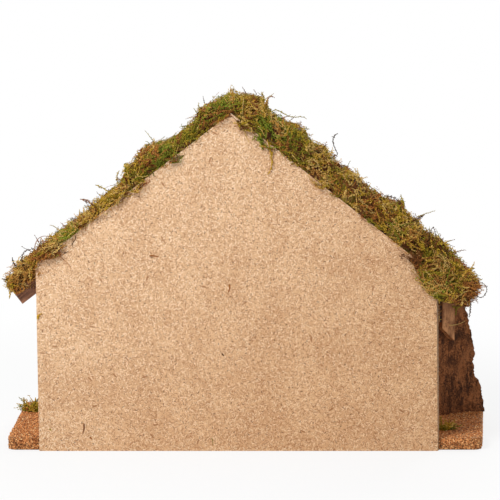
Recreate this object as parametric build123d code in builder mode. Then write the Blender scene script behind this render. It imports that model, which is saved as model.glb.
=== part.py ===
from build123d import *
import os
from math import atan, cos, radians, sin, tan

# A nativity stable seen from behind: X to the right, Y towards the open front, Z up.
# The origin is the middle of the base's underside. All lengths are millimetres.

# Base: a board that stands out at both sides and flares at the front right, under a coat of cork grit
left_yard = 25.6
right_yard = 34.4
base_flare = 18.5
base_depth = 200
base_front_bow = 6
base_thick = 8
base_corner = 6
grit_thick = 2
grit_edge = 1.5
grit_lift = 0.5
grit_round = 1.2

# Back panel: gabled particle board, a little out of square, its right edge sawn on a slant
panel_width = 339
panel_thick = 6
panel_height = 286
left_eave_height = 160
right_eave_height = 148.4
panel_lean = 2
peak_offset = 7
panel_bevel = 1.7

# Roof: two boards, sawn rafters behind, log rafters in front, a ridge beam between
roof_thick = 6
left_overhang = 33.3
right_overhang = 22.7
front_overhang = 14
rafter_width = 12
rafter_depth = 15
ridge_width = 14
ridge_depth = 16
ridge_housing = 3
log_rafter_radius = 7
log_rafter_set_back = 6
log_rafter_bed = 1

# Walls, and the plates that carry the roof boards on them
wall_thick = 6
plate_width = 12
plate_depth = 30
plate_show = 2
corner_size = 10

# Front frame of natural logs
frame_set_back = 34
post_radius = 8
post_saddle = 3
post_housing = 3
tie_drop = 38
tie_radius = 6.5

# Bark: an upright slab that leans out to the front right, with a batten on its inner face
slab_length = 60
slab_angle = 37.5
slab_set_back = 58
slab_tuck = 10
slab_thick = 7
slab_lip = 3
slab_bow = 5
batten_width = 14.4
batten_thick = 7
batten_place = 8.4
batten_length = 46
batten_point = 12

# Moss pads on the roof
moss_thick = 20
moss_lap = 6
ridge_lap = 30
eave_lap = 26
left_eave_lip = 5
left_eave_hang = 13
right_eave_lip = 14
right_eave_hang = 11
flap_reach = 58
flap_drop = 17

# Moss tufts on the base: how far in from the base's left edge or out from the panel, and their sizes
left_tuft_inset = 8
left_tuft_depth = 46
left_tuft_radius = 8
left_tuft_height = 17
right_tuft_gap = 7
right_tuft_depth = 60
right_tuft_radius = 4.5
right_tuft_height = 14
tuft_sides = 8
tuft_taper = 11

# One overrun serves all cuts
overrun = 10

# Shares: logs swell and wander, moss and bark rise and fall, as parts of the sizes above
post_taper_shares = (1.1, 0.93)
log_rafter_taper_shares = (1.08, 0.92)
tie_taper_shares = (1.08, 0.94)
slab_height_shares = (0, 0.15, 0.225, 0.26, 0.385, 0.41, 0.56, 0.78, 1)
slab_length_shares = (1.0, 0.975, 0.95, 0.885, 0.855, 0.9, 0.835, 0.7, 0.58)
left_mat_rear_shares = (0.89, 0.66, 0.66, 0.98, 0.4, 0.46, 0.33, 0.47, 0.5)
left_mat_front_shares = (0.63, 0.41, 0.42, 0.72, 0.18, 0.21, 0.12, 0.21, 0.24)
right_mat_rear_shares = (1.03, 1.14, 1.34, 1.06, 1.04, 0.97, 1.28, 1.34, 1.2)
right_mat_front_shares = (0.71, 0.82, 1.04, 0.74, 0.72, 0.65, 0.97, 1.04, 0.89)
ridge_rear_shares = (0.89, 0.7, 0.66, 0.87, 1.03)
ridge_front_shares = (0.63, 0.44, 0.31, 0.53, 0.71)
left_pad_rear_shares = (0.5, 0.45, 0.22)
left_pad_front_shares = (0.24, 0.23, 0.22)
right_pad_rear_shares = (1.2, 1.09, 0.7)
right_pad_front_shares = (0.89, 0.81, 0.7)
flap_along_shares = (0, 0.2, 0.4, 0.7, 1)
flap_drop_shares = (0, 0.65, 1.0, 0.95, 0.5)

os.makedirs("parts", exist_ok=True)

# Places worked out from the sizes
left = -1
right = 1
sides = {left: "left", right: "right"}
rear_y = -base_depth / 2
panel_back_y = rear_y - panel_thick
frame_y = base_depth / 2 - frame_set_back
roof_front_y = frame_y + front_overhang
ground_z = base_thick + grit_thick
base_width = left_yard + panel_width + right_yard
panel_left = left_yard - base_width / 2
panel_right = panel_left + panel_width
peak_x = (panel_left + panel_right) / 2 - peak_offset
left_eave_x = panel_left - panel_lean
right_eave_x = panel_right - panel_lean
pitch = {
    left: atan((panel_height - left_eave_height) / (peak_x - left_eave_x)),
    right: atan((panel_height - right_eave_height) / (right_eave_x - peak_x)),
}
plate_outer = {left: panel_left, right: panel_right + plate_show}
overhang = {left: left_overhang, right: right_overhang}
roof_length = {
    side: side * (plate_outer[side] - peak_x) / cos(pitch[side]) + overhang[side] for side in sides
}
plate_inner = {side: plate_outer[side] - side * plate_width for side in sides}
plate_end_y = frame_y - post_radius + post_housing
post_x = {side: plate_outer[side] - side * plate_width / 2 for side in sides}
rafter_drop = roof_thick + rafter_depth
log_rafter_drop = roof_thick + log_rafter_radius - log_rafter_bed
moss_rear_y = panel_back_y - moss_lap
moss_front_y = roof_front_y + moss_lap


def across(y):
    # The upright plane across the stable at depth y, drawn in x and z, facing the rear
    return Plane.XZ.offset(-y)


def roof_point(side, along, drop):
    # A point so far down the slope from the ridge, and so far square below the roof's top face
    run = along * cos(pitch[side]) - drop * sin(pitch[side])
    fall = along * sin(pitch[side]) + drop * cos(pitch[side])
    return peak_x + side * run, panel_height - fall


def roof_height(side, x, drop):
    # The height of the layer that lies so far square below the roof's top face, at x
    return panel_height - side * (x - peak_x) * tan(pitch[side]) - drop / cos(pitch[side])


plate_bottom = {side: roof_height(side, plate_outer[side], roof_thick) - plate_depth for side in sides}


def outline(*points):
    # A straight-sided face, drawn where its points lie
    return Polygon(*points, align=None)


def above_layer(side, x, reach, drop):
    # The outline of all that lies above a layer of the roof, within reach of x
    low, high = x - reach, x + reach
    outline(
        (low, roof_height(side, low, drop)),
        (high, roof_height(side, high, drop)),
        (high, panel_height + reach),
        (low, panel_height + reach),
    )


def tapered_log(radius, taper_shares, length):
    # A log that stands on the thick end, its taper given as shares of its radius
    foot_share, top_share = taper_shares
    Cone(radius * foot_share, radius * top_share, length, align=(Align.CENTER, Align.CENTER, Align.MIN))


# Back panel
with BuildPart() as back_panel:
    with BuildSketch(across(rear_y)):
        outline(
            (panel_left, 0),
            (panel_right, 0),
            (right_eave_x, right_eave_height),
            (peak_x, panel_height),
            (left_eave_x, left_eave_height),
        )
    extrude(amount=panel_thick)
    edge_way = (-panel_lean, 0, right_eave_height)
    edge_foot = Plane(origin=(panel_right, rear_y, 0), x_dir=(1, 0, 0), z_dir=edge_way)
    with BuildSketch(edge_foot.offset(-overrun)):
        outline(
            (0, 0),
            (overrun, 0),
            (overrun, -panel_thick - overrun),
            (-panel_bevel * (1 + overrun / panel_thick), -panel_thick - overrun),
        )
    extrude(amount=right_eave_height + 2 * overrun, mode=Mode.SUBTRACT)
back_panel.part.label = "back_panel"
export_step(back_panel.part, "parts/back_panel.step")


# The base's plan, shared by the board and its coat
front_left = (-base_width / 2, base_depth / 2)
front_right = (base_width / 2 + base_flare, base_depth / 2)
with BuildSketch() as base_plan:
    with BuildLine():
        Polyline(front_left, (-base_width / 2, rear_y), (base_width / 2, rear_y), front_right)
        ThreePointArc(front_right, (base_flare / 2, base_depth / 2 + base_front_bow), front_left)
    make_face()
    fillet(base_plan.vertices(), radius=base_corner)


# Base board
with BuildPart() as base_board:
    extrude(base_plan.sketch, amount=base_thick)
base_board.part.label = "base_board"
export_step(base_board.part, "parts/base_board.step")

# Roof boards, mitred at the ridge, their rear edges against the panel
roof_board_of = {}
for side in sides:
    with BuildPart() as roof_board:
        with BuildSketch(across(roof_front_y)):
            outline(
                (peak_x, panel_height),
                roof_point(side, roof_length[side], 0),
                roof_point(side, roof_length[side], roof_thick),
                (peak_x, roof_height(side, peak_x, roof_thick)),
            )
        extrude(amount=roof_front_y - rear_y)
    roof_board.part.label = f"{sides[side]}_roof_board"
    export_step(roof_board.part, f"parts/{sides[side]}_roof_board.step")
    roof_board_of[side] = roof_board.part

# Rear rafters: the left one runs out to the eave, the right one is cut off plumb at the panel's edge
with BuildPart() as left_rear_rafter:
    with BuildSketch(across(rear_y + rafter_width)):
        outline(
            (peak_x, roof_height(left, peak_x, roof_thick)),
            roof_point(left, roof_length[left], roof_thick),
            roof_point(left, roof_length[left], rafter_drop),
            (peak_x, roof_height(left, peak_x, rafter_drop)),
        )
    extrude(amount=rafter_width)
left_rear_rafter.part.label = "left_rear_rafter"
export_step(left_rear_rafter.part, "parts/left_rear_rafter.step")

with BuildPart() as right_rear_rafter:
    with BuildSketch(across(rear_y + rafter_width)):
        outline(
            (peak_x, roof_height(right, peak_x, roof_thick)),
            (right_eave_x, roof_height(right, right_eave_x, roof_thick)),
            (right_eave_x, roof_height(right, right_eave_x, rafter_drop)),
            (peak_x, roof_height(right, peak_x, rafter_drop)),
        )
    extrude(amount=rafter_width)
right_rear_rafter.part.label = "right_rear_rafter"
export_step(right_rear_rafter.part, "parts/right_rear_rafter.step")

# Ridge beam, bevelled to both slopes, from the rear rafters into the log rafters
beam_left = peak_x - ridge_width / 2
beam_right = peak_x + ridge_width / 2
beam_apex = min(roof_height(side, peak_x, roof_thick) for side in sides)
beam_end_y = frame_y - log_rafter_radius + ridge_housing
with BuildPart() as ridge_beam:
    with BuildSketch(across(beam_end_y)):
        outline(
            (beam_left, beam_apex - ridge_depth),
            (beam_right, beam_apex - ridge_depth),
            (beam_right, roof_height(right, beam_right, roof_thick)),
            (peak_x, beam_apex),
            (beam_left, roof_height(left, beam_left, roof_thick)),
        )
    extrude(amount=beam_end_y - rear_y - rafter_width)
ridge_beam.part.label = "ridge_beam"
export_step(ridge_beam.part, "parts/ridge_beam.step")

# Front rafters: tapered logs, planed under the roof boards, cut plumb at the ridge and housed for its beam
log_rafter_of = {}
for side in sides:
    foot_x, foot_z = roof_point(side, roof_length[side] - log_rafter_set_back, log_rafter_drop)
    up_slope = (-side * cos(pitch[side]), 0, sin(pitch[side]))
    foot = Plane(origin=(foot_x, frame_y, foot_z), x_dir=(0, 1, 0), z_dir=up_slope)
    with BuildPart() as front_rafter:
        with Locations(foot):
            tapered_log(log_rafter_radius, log_rafter_taper_shares, roof_length[side] + 2 * overrun)
        split(bisect_by=Plane.YZ.offset(peak_x), keep=Keep.TOP if side == right else Keep.BOTTOM)
        for piece in (roof_board_of[side], ridge_beam.part):
            add(piece, mode=Mode.SUBTRACT)
    front_rafter.part.label = f"{sides[side]}_front_rafter"
    export_step(front_rafter.part, f"parts/{sides[side]}_front_rafter.step")
    log_rafter_of[side] = front_rafter.part

# Wall plates under the roof boards, side walls below them, and glue blocks in the rear corners
plate_of, wall_of, corner_of = {}, {}, {}
for side in sides:
    with BuildPart() as wall_plate:
        with BuildSketch(across(plate_end_y)):
            outline(
                (plate_outer[side], plate_bottom[side]),
                (plate_inner[side], plate_bottom[side]),
                (plate_inner[side], roof_height(side, plate_inner[side], roof_thick)),
                (plate_outer[side], roof_height(side, plate_outer[side], roof_thick)),
            )
        extrude(amount=plate_end_y - rear_y - rafter_width)
        add(log_rafter_of[side], mode=Mode.SUBTRACT)
    wall_plate.part.label = f"{sides[side]}_wall_plate"
    export_step(wall_plate.part, f"parts/{sides[side]}_wall_plate.step")
    plate_of[side] = wall_plate.part

    wall_outer = plate_inner[side] + side * wall_thick
    with BuildPart() as wall:
        with BuildSketch(across(plate_end_y)):
            outline(
                (wall_outer, base_thick),
                (plate_inner[side], base_thick),
                (plate_inner[side], plate_bottom[side]),
                (wall_outer, plate_bottom[side]),
            )
        extrude(amount=plate_end_y - rear_y)
    wall.part.label = f"{sides[side]}_wall"
    export_step(wall.part, f"parts/{sides[side]}_wall.step")
    wall_of[side] = wall.part

    corner_inner = plate_inner[side] - side * corner_size
    with BuildPart() as corner_batten:
        with BuildSketch(Plane.XY.offset(base_thick)):
            outline(
                (plate_inner[side], rear_y),
                (corner_inner, rear_y),
                (corner_inner, rear_y + corner_size),
                (plate_inner[side], rear_y + corner_size),
            )
        extrude(amount=plate_bottom[side] - base_thick)
    corner_batten.part.label = f"{sides[side]}_corner_batten"
    export_step(corner_batten.part, f"parts/{sides[side]}_corner_batten.step")
    corner_of[side] = corner_batten.part

# Front posts: tapered logs, saddled under the rafters, housed for the plate and the wall
post_of = {}
for side in sides:
    post_top = roof_height(side, post_x[side], roof_thick)
    with BuildPart() as front_post:
        with Locations((post_x[side], frame_y, base_thick)):
            tapered_log(post_radius, post_taper_shares, post_top - base_thick)
        with BuildSketch(across(frame_y + 2 * post_radius)):
            above_layer(side, post_x[side], 2 * post_radius, log_rafter_drop + post_saddle)
        extrude(amount=4 * post_radius, mode=Mode.SUBTRACT)
        for piece in (log_rafter_of[side], plate_of[side], wall_of[side]):
            add(piece, mode=Mode.SUBTRACT)
    front_post.part.label = f"{sides[side]}_front_post"
    export_step(front_post.part, f"parts/{sides[side]}_front_post.step")
    post_of[side] = front_post.part

# Tie beam: a log coped to the posts at both ends
with BuildPart() as tie_beam:
    tie_span = post_x[right] - post_x[left]
    tie_height = min(left_eave_height, right_eave_height) - tie_drop
    with Locations(Plane(origin=(post_x[left], frame_y, tie_height), x_dir=(0, 1, 0), z_dir=(1, 0, 0))):
        tapered_log(tie_radius, tie_taper_shares, tie_span)
    for side in sides:
        for piece in (post_of[side], wall_of[side], plate_of[side]):
            add(piece, mode=Mode.SUBTRACT)
    tie_log = tie_beam.solids().sort_by(SortBy.VOLUME)[-1]
    add(tie_log, mode=Mode.INTERSECT)
tie_beam.part.label = "tie_beam"
export_step(tie_beam.part, "parts/tie_beam.step")

# Bark slab: an upright crescent, broken off shorter towards the top, cut to the wall plate and to the roof
slab_way = (cos(radians(slab_angle)), sin(radians(slab_angle)), 0)
slab_foot = Plane(origin=(plate_outer[right], frame_y - slab_set_back, 0), x_dir=slab_way)
slab_top = roof_height(right, plate_outer[right], roof_thick)
slab_middle = (slab_length - slab_tuck) / 2
slab_face = Plane(origin=slab_foot.origin, x_dir=slab_way, z_dir=(slab_way[1], -slab_way[0], 0))
with BuildPart() as bark_slab:
    with BuildSketch(slab_foot.offset(ground_z)):
        with BuildLine():
            ThreePointArc((-slab_tuck, 0), (slab_middle, slab_bow), (slab_length, 0))
            Line((slab_length, 0), (slab_length, slab_lip))
            crown = (slab_middle, slab_bow + slab_thick)
            ThreePointArc((slab_length, slab_lip), crown, (-slab_tuck, slab_lip))
            Line((-slab_tuck, slab_lip), (-slab_tuck, 0))
        make_face()
    extrude(amount=slab_top - ground_z)
    with BuildSketch(slab_face):
        broken_edge = [
            (slab_length * length, ground_z + height * (slab_top - ground_z))
            for height, length in zip(slab_height_shares, slab_length_shares)
        ]
        outline((slab_length + overrun, ground_z), *broken_edge, (slab_length + overrun, slab_top))
    extrude(amount=slab_length, both=True, mode=Mode.SUBTRACT)
    split(bisect_by=Plane.YZ.offset(plate_outer[right]), keep=Keep.TOP)
    with BuildSketch(across(base_depth)):
        above_layer(right, plate_outer[right], 2 * slab_length, roof_thick)
    extrude(amount=2 * base_depth, mode=Mode.SUBTRACT)
bark_slab.part.label = "bark_slab"
export_step(bark_slab.part, "parts/bark_slab.step")

# Batten on the slab's hollow face, its foot cut on a slant, its top under the roof board
batten_edge = batten_place + batten_width
batten_tip = roof_height(right, plate_outer[right] + batten_edge * slab_way[0], roof_thick) - batten_length
with BuildPart() as bark_batten:
    with BuildSketch(slab_face.offset(-slab_bow)):
        outline(
            (batten_place, batten_tip + batten_point),
            (batten_edge, batten_tip),
            (batten_edge, slab_top),
            (batten_place, slab_top),
        )
    extrude(amount=batten_thick)
    with BuildSketch(across(base_depth)):
        above_layer(right, plate_outer[right], 2 * slab_length, roof_thick)
    extrude(amount=2 * base_depth, mode=Mode.SUBTRACT)
    add(bark_slab.part, mode=Mode.SUBTRACT)
bark_batten.part.label = "bark_batten"
export_step(bark_batten.part, "parts/bark_batten.step")


def clumps(points):
    # A row of clumps: one arc over each three points
    for first in range(0, len(points) - 2, 2):
        ThreePointArc(*points[first : first + 3])


def moss_pad(floor, rear_crown, front_crown):
    # A pad from the rear to the front of the roof: straight where it lies on it, under clumps that thin out
    faces = []
    for y, crown in ((moss_front_y, front_crown), (moss_rear_y, rear_crown)):
        with BuildSketch(across(y)) as moss_face:
            with BuildLine():
                Polyline(crown[0], *floor, crown[-1])
                clumps(crown)
            make_face()
        faces.append(moss_face.sketch)
    loft(faces, ruled=True)


# Moss mats on the two slopes
mat_shares = {
    left: (left_mat_rear_shares, left_mat_front_shares),
    right: (right_mat_rear_shares, right_mat_front_shares),
}
for side in sides:
    mat_end = roof_length[side] - eave_lap
    crowns = []
    for shares in mat_shares[side]:
        mat_step = (mat_end - ridge_lap) / (len(shares) - 1)
        crowns.append([
            roof_point(side, ridge_lap + place * mat_step, -moss_thick * share)
            for place, share in enumerate(shares)
        ])
    with BuildPart() as roof_moss:
        moss_pad((roof_point(side, ridge_lap, 0), roof_point(side, mat_end, 0)), *crowns)
    roof_moss.part.label = f"{sides[side]}_roof_moss"
    export_step(roof_moss.part, f"parts/{sides[side]}_roof_moss.step")


def ridge_crown(shares):
    # The moss over the ridge, from the left slope's mat to the right one's
    rise = [moss_thick * share for share in shares]
    return (
        roof_point(left, ridge_lap, -rise[0]),
        roof_point(left, ridge_lap / 2, -rise[1]),
        (peak_x, panel_height + rise[2]),
        roof_point(right, ridge_lap / 2, -rise[3]),
        roof_point(right, ridge_lap, -rise[4]),
    )


# Moss over the ridge
with BuildPart() as ridge_moss:
    moss_pad(
        (roof_point(left, ridge_lap, 0), (peak_x, panel_height), roof_point(right, ridge_lap, 0)),
        ridge_crown(ridge_rear_shares),
        ridge_crown(ridge_front_shares),
    )
ridge_moss.part.label = "ridge_moss"
export_step(ridge_moss.part, "parts/ridge_moss.step")


def eave_crown(side, lip, hang, shares):
    # Moss over the end of a roof board, from the mat to below the board's top face
    end = roof_length[side]
    start = end - eave_lap
    rise = [moss_thick * share for share in shares]
    return (
        roof_point(side, start, -rise[0]),
        roof_point(side, (start + end) / 2, -rise[1]),
        roof_point(side, end + lip / 2, -rise[2]),
        roof_point(side, end + lip, hang / 3),
        roof_point(side, end, hang),
    )


def eave_pad(side, lip, hang, rear_shares, front_shares):
    # A pad that laps over the end of a roof board
    end = roof_length[side]
    moss_pad(
        (roof_point(side, end - eave_lap, 0), roof_point(side, end, 0)),
        eave_crown(side, lip, hang, rear_shares),
        eave_crown(side, lip, hang, front_shares),
    )


# Moss at the left eave
with BuildPart() as left_eave_moss:
    eave_pad(left, left_eave_lip, left_eave_hang, left_pad_rear_shares, left_pad_front_shares)
left_eave_moss.part.label = "left_eave_moss"
export_step(left_eave_moss.part, "parts/left_eave_moss.step")

# Moss at the right eave, with the flap that hangs over the panel's corner
with BuildPart() as right_eave_moss:
    eave_pad(right, right_eave_lip, right_eave_hang, right_pad_rear_shares, right_pad_front_shares)
    flap_start = roof_length[right] - flap_reach
    flap_end = roof_length[right] + right_eave_lip / 3
    hem = [
        roof_point(right, flap_start + along * (flap_end - flap_start), drop * flap_drop)
        for along, drop in zip(flap_along_shares, flap_drop_shares)
    ]
    with BuildSketch(across(panel_back_y)):
        with BuildLine():
            Polyline(hem[-1], roof_point(right, flap_end, 0), hem[0])
            clumps(hem)
        make_face()
    extrude(amount=moss_lap)
    for piece in (bark_slab.part, bark_batten.part):
        add(piece, mode=Mode.SUBTRACT)
right_eave_moss.part.label = "right_eave_moss"
export_step(right_eave_moss.part, "parts/right_eave_moss.step")

# Ground cover: the cork grit on the base and round its edges, with the standing pieces let through it
with BuildPart() as ground_cover:
    with BuildSketch(Plane.XY.offset(grit_lift)):
        add(base_plan.sketch)
        offset(amount=grit_edge)
    extrude(amount=ground_z - grit_lift)
    fillet(ground_cover.faces().sort_by(Axis.Z)[-1].edges(), radius=grit_round)
    for piece in (base_board.part, back_panel.part):
        add(piece, mode=Mode.SUBTRACT)
    for side in sides:
        for piece in (post_of[side], wall_of[side], corner_of[side]):
            add(piece, mode=Mode.SUBTRACT)
ground_cover.part.label = "ground_cover"
export_step(ground_cover.part, "parts/ground_cover.step")

# Tufts of moss on the ground
tufts = {
    left: (-base_width / 2 + left_tuft_inset, left_tuft_depth, left_tuft_radius, left_tuft_height),
    right: (panel_right + right_tuft_gap, -right_tuft_depth, right_tuft_radius, right_tuft_height),
}
for side in sides:
    tuft_x, tuft_y, tuft_radius, tuft_height = tufts[side]
    with BuildPart() as ground_moss:
        with BuildSketch(Plane.XY.offset(ground_z)):
            with Locations((tuft_x, tuft_y)):
                RegularPolygon(tuft_radius, tuft_sides)
        extrude(amount=tuft_height, taper=tuft_taper)
    ground_moss.part.label = f"{sides[side]}_ground_moss"
    export_step(ground_moss.part, f"parts/{sides[side]}_ground_moss.step")
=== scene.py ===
import math

import bpy
import numpy as np
from mathutils import Euler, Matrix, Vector


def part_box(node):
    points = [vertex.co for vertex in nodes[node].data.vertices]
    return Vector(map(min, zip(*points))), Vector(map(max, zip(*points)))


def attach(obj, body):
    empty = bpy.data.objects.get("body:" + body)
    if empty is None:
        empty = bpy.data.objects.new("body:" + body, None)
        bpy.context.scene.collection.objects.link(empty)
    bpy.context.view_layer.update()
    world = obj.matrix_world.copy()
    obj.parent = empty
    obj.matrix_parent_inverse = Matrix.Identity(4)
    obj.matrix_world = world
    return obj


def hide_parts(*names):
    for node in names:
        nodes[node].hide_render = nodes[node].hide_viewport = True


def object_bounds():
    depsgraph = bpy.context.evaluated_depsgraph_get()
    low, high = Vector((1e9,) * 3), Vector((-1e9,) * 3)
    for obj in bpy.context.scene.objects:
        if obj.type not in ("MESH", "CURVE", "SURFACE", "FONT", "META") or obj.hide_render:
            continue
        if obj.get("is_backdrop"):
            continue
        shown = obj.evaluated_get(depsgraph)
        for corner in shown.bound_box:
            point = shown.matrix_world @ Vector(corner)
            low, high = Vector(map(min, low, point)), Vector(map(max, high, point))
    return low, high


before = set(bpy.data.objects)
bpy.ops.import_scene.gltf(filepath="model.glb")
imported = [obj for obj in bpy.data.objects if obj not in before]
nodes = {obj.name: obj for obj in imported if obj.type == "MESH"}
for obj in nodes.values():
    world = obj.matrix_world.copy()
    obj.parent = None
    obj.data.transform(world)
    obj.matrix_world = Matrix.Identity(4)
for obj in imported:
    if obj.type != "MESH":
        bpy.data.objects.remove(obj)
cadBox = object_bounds()
mm = 0.001
noisePrimes = (73856093, 19349663, 83492791)  # scramble the three axes of the noise lattice
paletteMap = "OFBake"  # the UV map that holds each piece's place in its palette
print("frame loaded,", len(nodes), "nodes")


# small helpers for colours, noise, meshes and node trees

def rgb(red, green, blue):  # screen colour to linear light
    linear = []
    for part in (red, green, blue):
        part = part / 255
        linear.append(part / 12.92 if part <= 0.04045 else ((part + 0.055) / 1.055) ** 2.4)
    return (*linear, 1.0)


def unit(vectors):  # vectors brought to a length of 1
    return vectors / np.maximum(np.linalg.norm(vectors, axis=-1, keepdims=True), 1e-9)


def softNoise(points, size, seed):  # smooth lattice noise, -1 to 1
    spots = np.asarray(points, dtype=float) / size
    cell = np.floor(spots).astype(np.int64)
    part = spots - cell
    part = part * part * (3 - 2 * part)
    total = np.zeros(spots.shape[:-1])
    for corner in np.ndindex(2, 2, 2):
        key = seed * 2654435
        weight = 1.0
        for axis, prime in enumerate(noisePrimes):
            key = key ^ (cell[..., axis] + corner[axis]) * prime
            weight = weight * (part[..., axis] if corner[axis] else 1 - part[..., axis])
        key = (key ^ (key >> 13)) * 1274126177 & 0x7FFFFFFF
        value = ((key ^ (key >> 15)) & 0xFFFF) / 32767.5 - 1
        total = total + value * weight
    return total


def layeredNoise(points, *layers):  # layers are amount, size and seed
    return sum(amount * softNoise(points, size, seed) for amount, size, seed in layers)


def gridTris(rows, cols):  # two triangles for each square of a grid of points
    corner = (np.arange(rows - 1)[:, None] * cols + np.arange(cols - 1)[None]).ravel()
    first = np.stack((corner, corner + 1, corner + cols), 1)
    second = np.stack((corner + 1, corner + cols + 1, corner + cols), 1)
    return np.concatenate((first, second))


def joined(parts):  # parts are (verts, tris, uv)
    verts, tris, uvs, start = [], [], [], 0
    for someVerts, someTris, someUv in parts:
        verts.append(someVerts)
        tris.append(someTris + start)
        uvs.append(someUv)
        start += len(someVerts)
    return np.concatenate(verts), np.concatenate(tris), np.concatenate(uvs)


def meshObject(name, verts, tris, uv=None, smooth=True):
    mesh = bpy.data.meshes.new(name)
    mesh.vertices.add(len(verts))
    mesh.vertices.foreach_set("co", np.asarray(verts, dtype=np.float32).ravel())
    mesh.loops.add(tris.size)
    mesh.loops.foreach_set("vertex_index", tris.astype(np.int32).ravel())
    mesh.polygons.add(len(tris))
    mesh.polygons.foreach_set("loop_start", np.arange(0, tris.size, 3, dtype=np.int32))
    mesh.update(calc_edges=True)
    mesh.polygons.foreach_set("use_smooth", np.full(len(tris), smooth))
    if uv is not None:
        layer = mesh.uv_layers.new(name=paletteMap)
        layer.data.foreach_set("uv", uv[tris.ravel()].astype(np.float32).ravel())
    piece = bpy.data.objects.new(name, mesh)
    bpy.context.collection.objects.link(piece)
    return piece


def onRoot(piece, slotName, material, *replaced):  # finishes a piece, attaches it to the root, and hides the parts that it stands for
    piece.data.materials.clear()
    piece.data.materials.append(material)
    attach(piece, "root")
    if replaced:
        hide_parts(*replaced)


def newMaterial(name):
    material = bpy.data.materials.new(name)
    material.use_nodes = True
    return material, material.node_tree, material.node_tree.nodes["Principled BSDF"]


def feed(tree, value, socket):  # a plain value, or the output of another node
    if isinstance(value, bpy.types.NodeSocket):
        tree.links.new(value, socket)
    else:
        socket.default_value = value


def coated(tree, shader, colour, rough, shine=0.2):
    feed(tree, colour, shader.inputs["Base Color"])
    shader.inputs["Roughness"].default_value = rough
    shader.inputs["Specular IOR Level"].default_value = shine


def calc(tree, operation, *values):
    step = tree.nodes.new("ShaderNodeMath")
    step.operation = operation
    for value, socket in zip(values, step.inputs):
        feed(tree, value, socket)
    return step.outputs[0]


def weighed(tree, first, share, second, otherShare):  # the sum of two values, each times its share
    terms = [calc(tree, "MULTIPLY", *pair) for pair in ((first, share), (second, otherShare))]
    return calc(tree, "ADD", *terms)


def vectorCalc(tree, operation, *values):
    step = tree.nodes.new("ShaderNodeVectorMath")
    step.operation = operation
    for value, socket in zip(values, step.inputs):
        feed(tree, value, socket)
    return step.outputs["Value"] if operation in ("LENGTH", "DOT_PRODUCT") else step.outputs["Vector"]


def mixed(tree, factor, first, second, kind="MIX"):
    step = tree.nodes.new("ShaderNodeMix")
    step.data_type = "RGBA"
    step.blend_type = kind
    feed(tree, factor, step.inputs[0])
    feed(tree, first, step.inputs[6])
    feed(tree, second, step.inputs[7])
    return step.outputs[2]


def eased(tree, value, low, high, toLow=0.0, toHigh=1.0):  # a smooth step from low to high
    step = tree.nodes.new("ShaderNodeMapRange")
    step.interpolation_type = "SMOOTHSTEP"
    feed(tree, value, step.inputs[0])
    for socket, number in zip(step.inputs[1:5], (low, high, toLow, toHigh)):
        socket.default_value = number
    return step.outputs[0]


def ramp(tree, value, stops):
    step = tree.nodes.new("ShaderNodeValToRGB")
    feed(tree, value, step.inputs[0])
    band = step.color_ramp
    while len(band.elements) < len(stops):
        band.elements.new(0.5)
    for element, (place, colour) in zip(band.elements, stops):
        element.position = place
        element.color = colour
    return step.outputs[0]


def spot(tree, size, turn=(0, 0, 0), origin=(0, 0, 0)):  # object coordinates, turned and divided by size
    sizes = size if isinstance(size, tuple) else (size, size, size)
    coord = tree.nodes.new("ShaderNodeTexCoord")
    mapping = tree.nodes.new("ShaderNodeMapping")
    mapping.vector_type = "TEXTURE"
    mapping.inputs["Location"].default_value = origin
    mapping.inputs["Rotation"].default_value = turn
    mapping.inputs["Scale"].default_value = sizes
    tree.links.new(coord.outputs["Object"], mapping.inputs["Vector"])
    return mapping.outputs["Vector"]


def noiseOf(tree, vector, detail=2.0, rough=0.5, bent=0.0):
    step = tree.nodes.new("ShaderNodeTexNoise")
    tree.links.new(vector, step.inputs["Vector"])
    step.inputs["Scale"].default_value = 1.0
    step.inputs["Detail"].default_value = detail
    step.inputs["Roughness"].default_value = rough
    step.inputs["Distortion"].default_value = bent
    return step.outputs[0]


def cellsOf(tree, vector):  # nearest scattered point: the node, and three numbers drawn for that point
    step = tree.nodes.new("ShaderNodeTexVoronoi")
    tree.links.new(vector, step.inputs["Vector"])
    step.inputs["Scale"].default_value = 1.0
    dice = tree.nodes.new("ShaderNodeSeparateColor")
    tree.links.new(step.outputs["Color"], dice.inputs[0])
    return step, dice.outputs


def bumped(tree, shader, height, strength, distance):
    step = tree.nodes.new("ShaderNodeBump")
    step.inputs["Strength"].default_value = strength
    step.inputs["Distance"].default_value = distance
    tree.links.new(height, step.inputs["Height"])
    tree.links.new(step.outputs[0], shader.inputs["Normal"])


def facing(tree, direction):  # how far a face looks along a direction, 0 to 1
    normal = tree.nodes.new("ShaderNodeNewGeometry").outputs["True Normal"]
    return calc(tree, "ABSOLUTE", vectorCalc(tree, "DOT_PRODUCT", normal, direction))


def axisOf(tree, way):  # distance along a direction
    return vectorCalc(tree, "DOT_PRODUCT", spot(tree, 1), way)


def paintShade(material, amount, dark):  # mixes painted shade, a dark colour, over a finished look
    tree = material.node_tree
    socket = tree.nodes["Principled BSDF"].inputs["Base Color"]
    tree.links.new(mixed(tree, amount, socket.links[0].from_socket, dark), socket)


# places read from the frame

left, right = -1, 1


def farthest(nodeName, way):  # the vertex of a node that lies farthest along a direction
    return max((vertex.co for vertex in nodes[nodeName].data.vertices), key=Vector(way).dot).copy()


peak = farthest("left_roof_board", (0, 0, 1))
eave = {left: farthest("left_roof_board", (-1, 0, 0)), right: farthest("right_roof_board", (1, 0, 0))}
pitch = {side: math.atan2(peak.z - end.z, side * (end.x - peak.x)) for side, end in eave.items()}
slopeLength = {side: math.hypot(end.x - peak.x, peak.z - end.z) for side, end in eave.items()}
panelLow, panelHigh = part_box("back_panel")
roofLow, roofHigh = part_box("right_roof_board")
coverLow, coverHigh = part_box("ground_cover")
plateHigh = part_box("right_wall_plate")[1]


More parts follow.
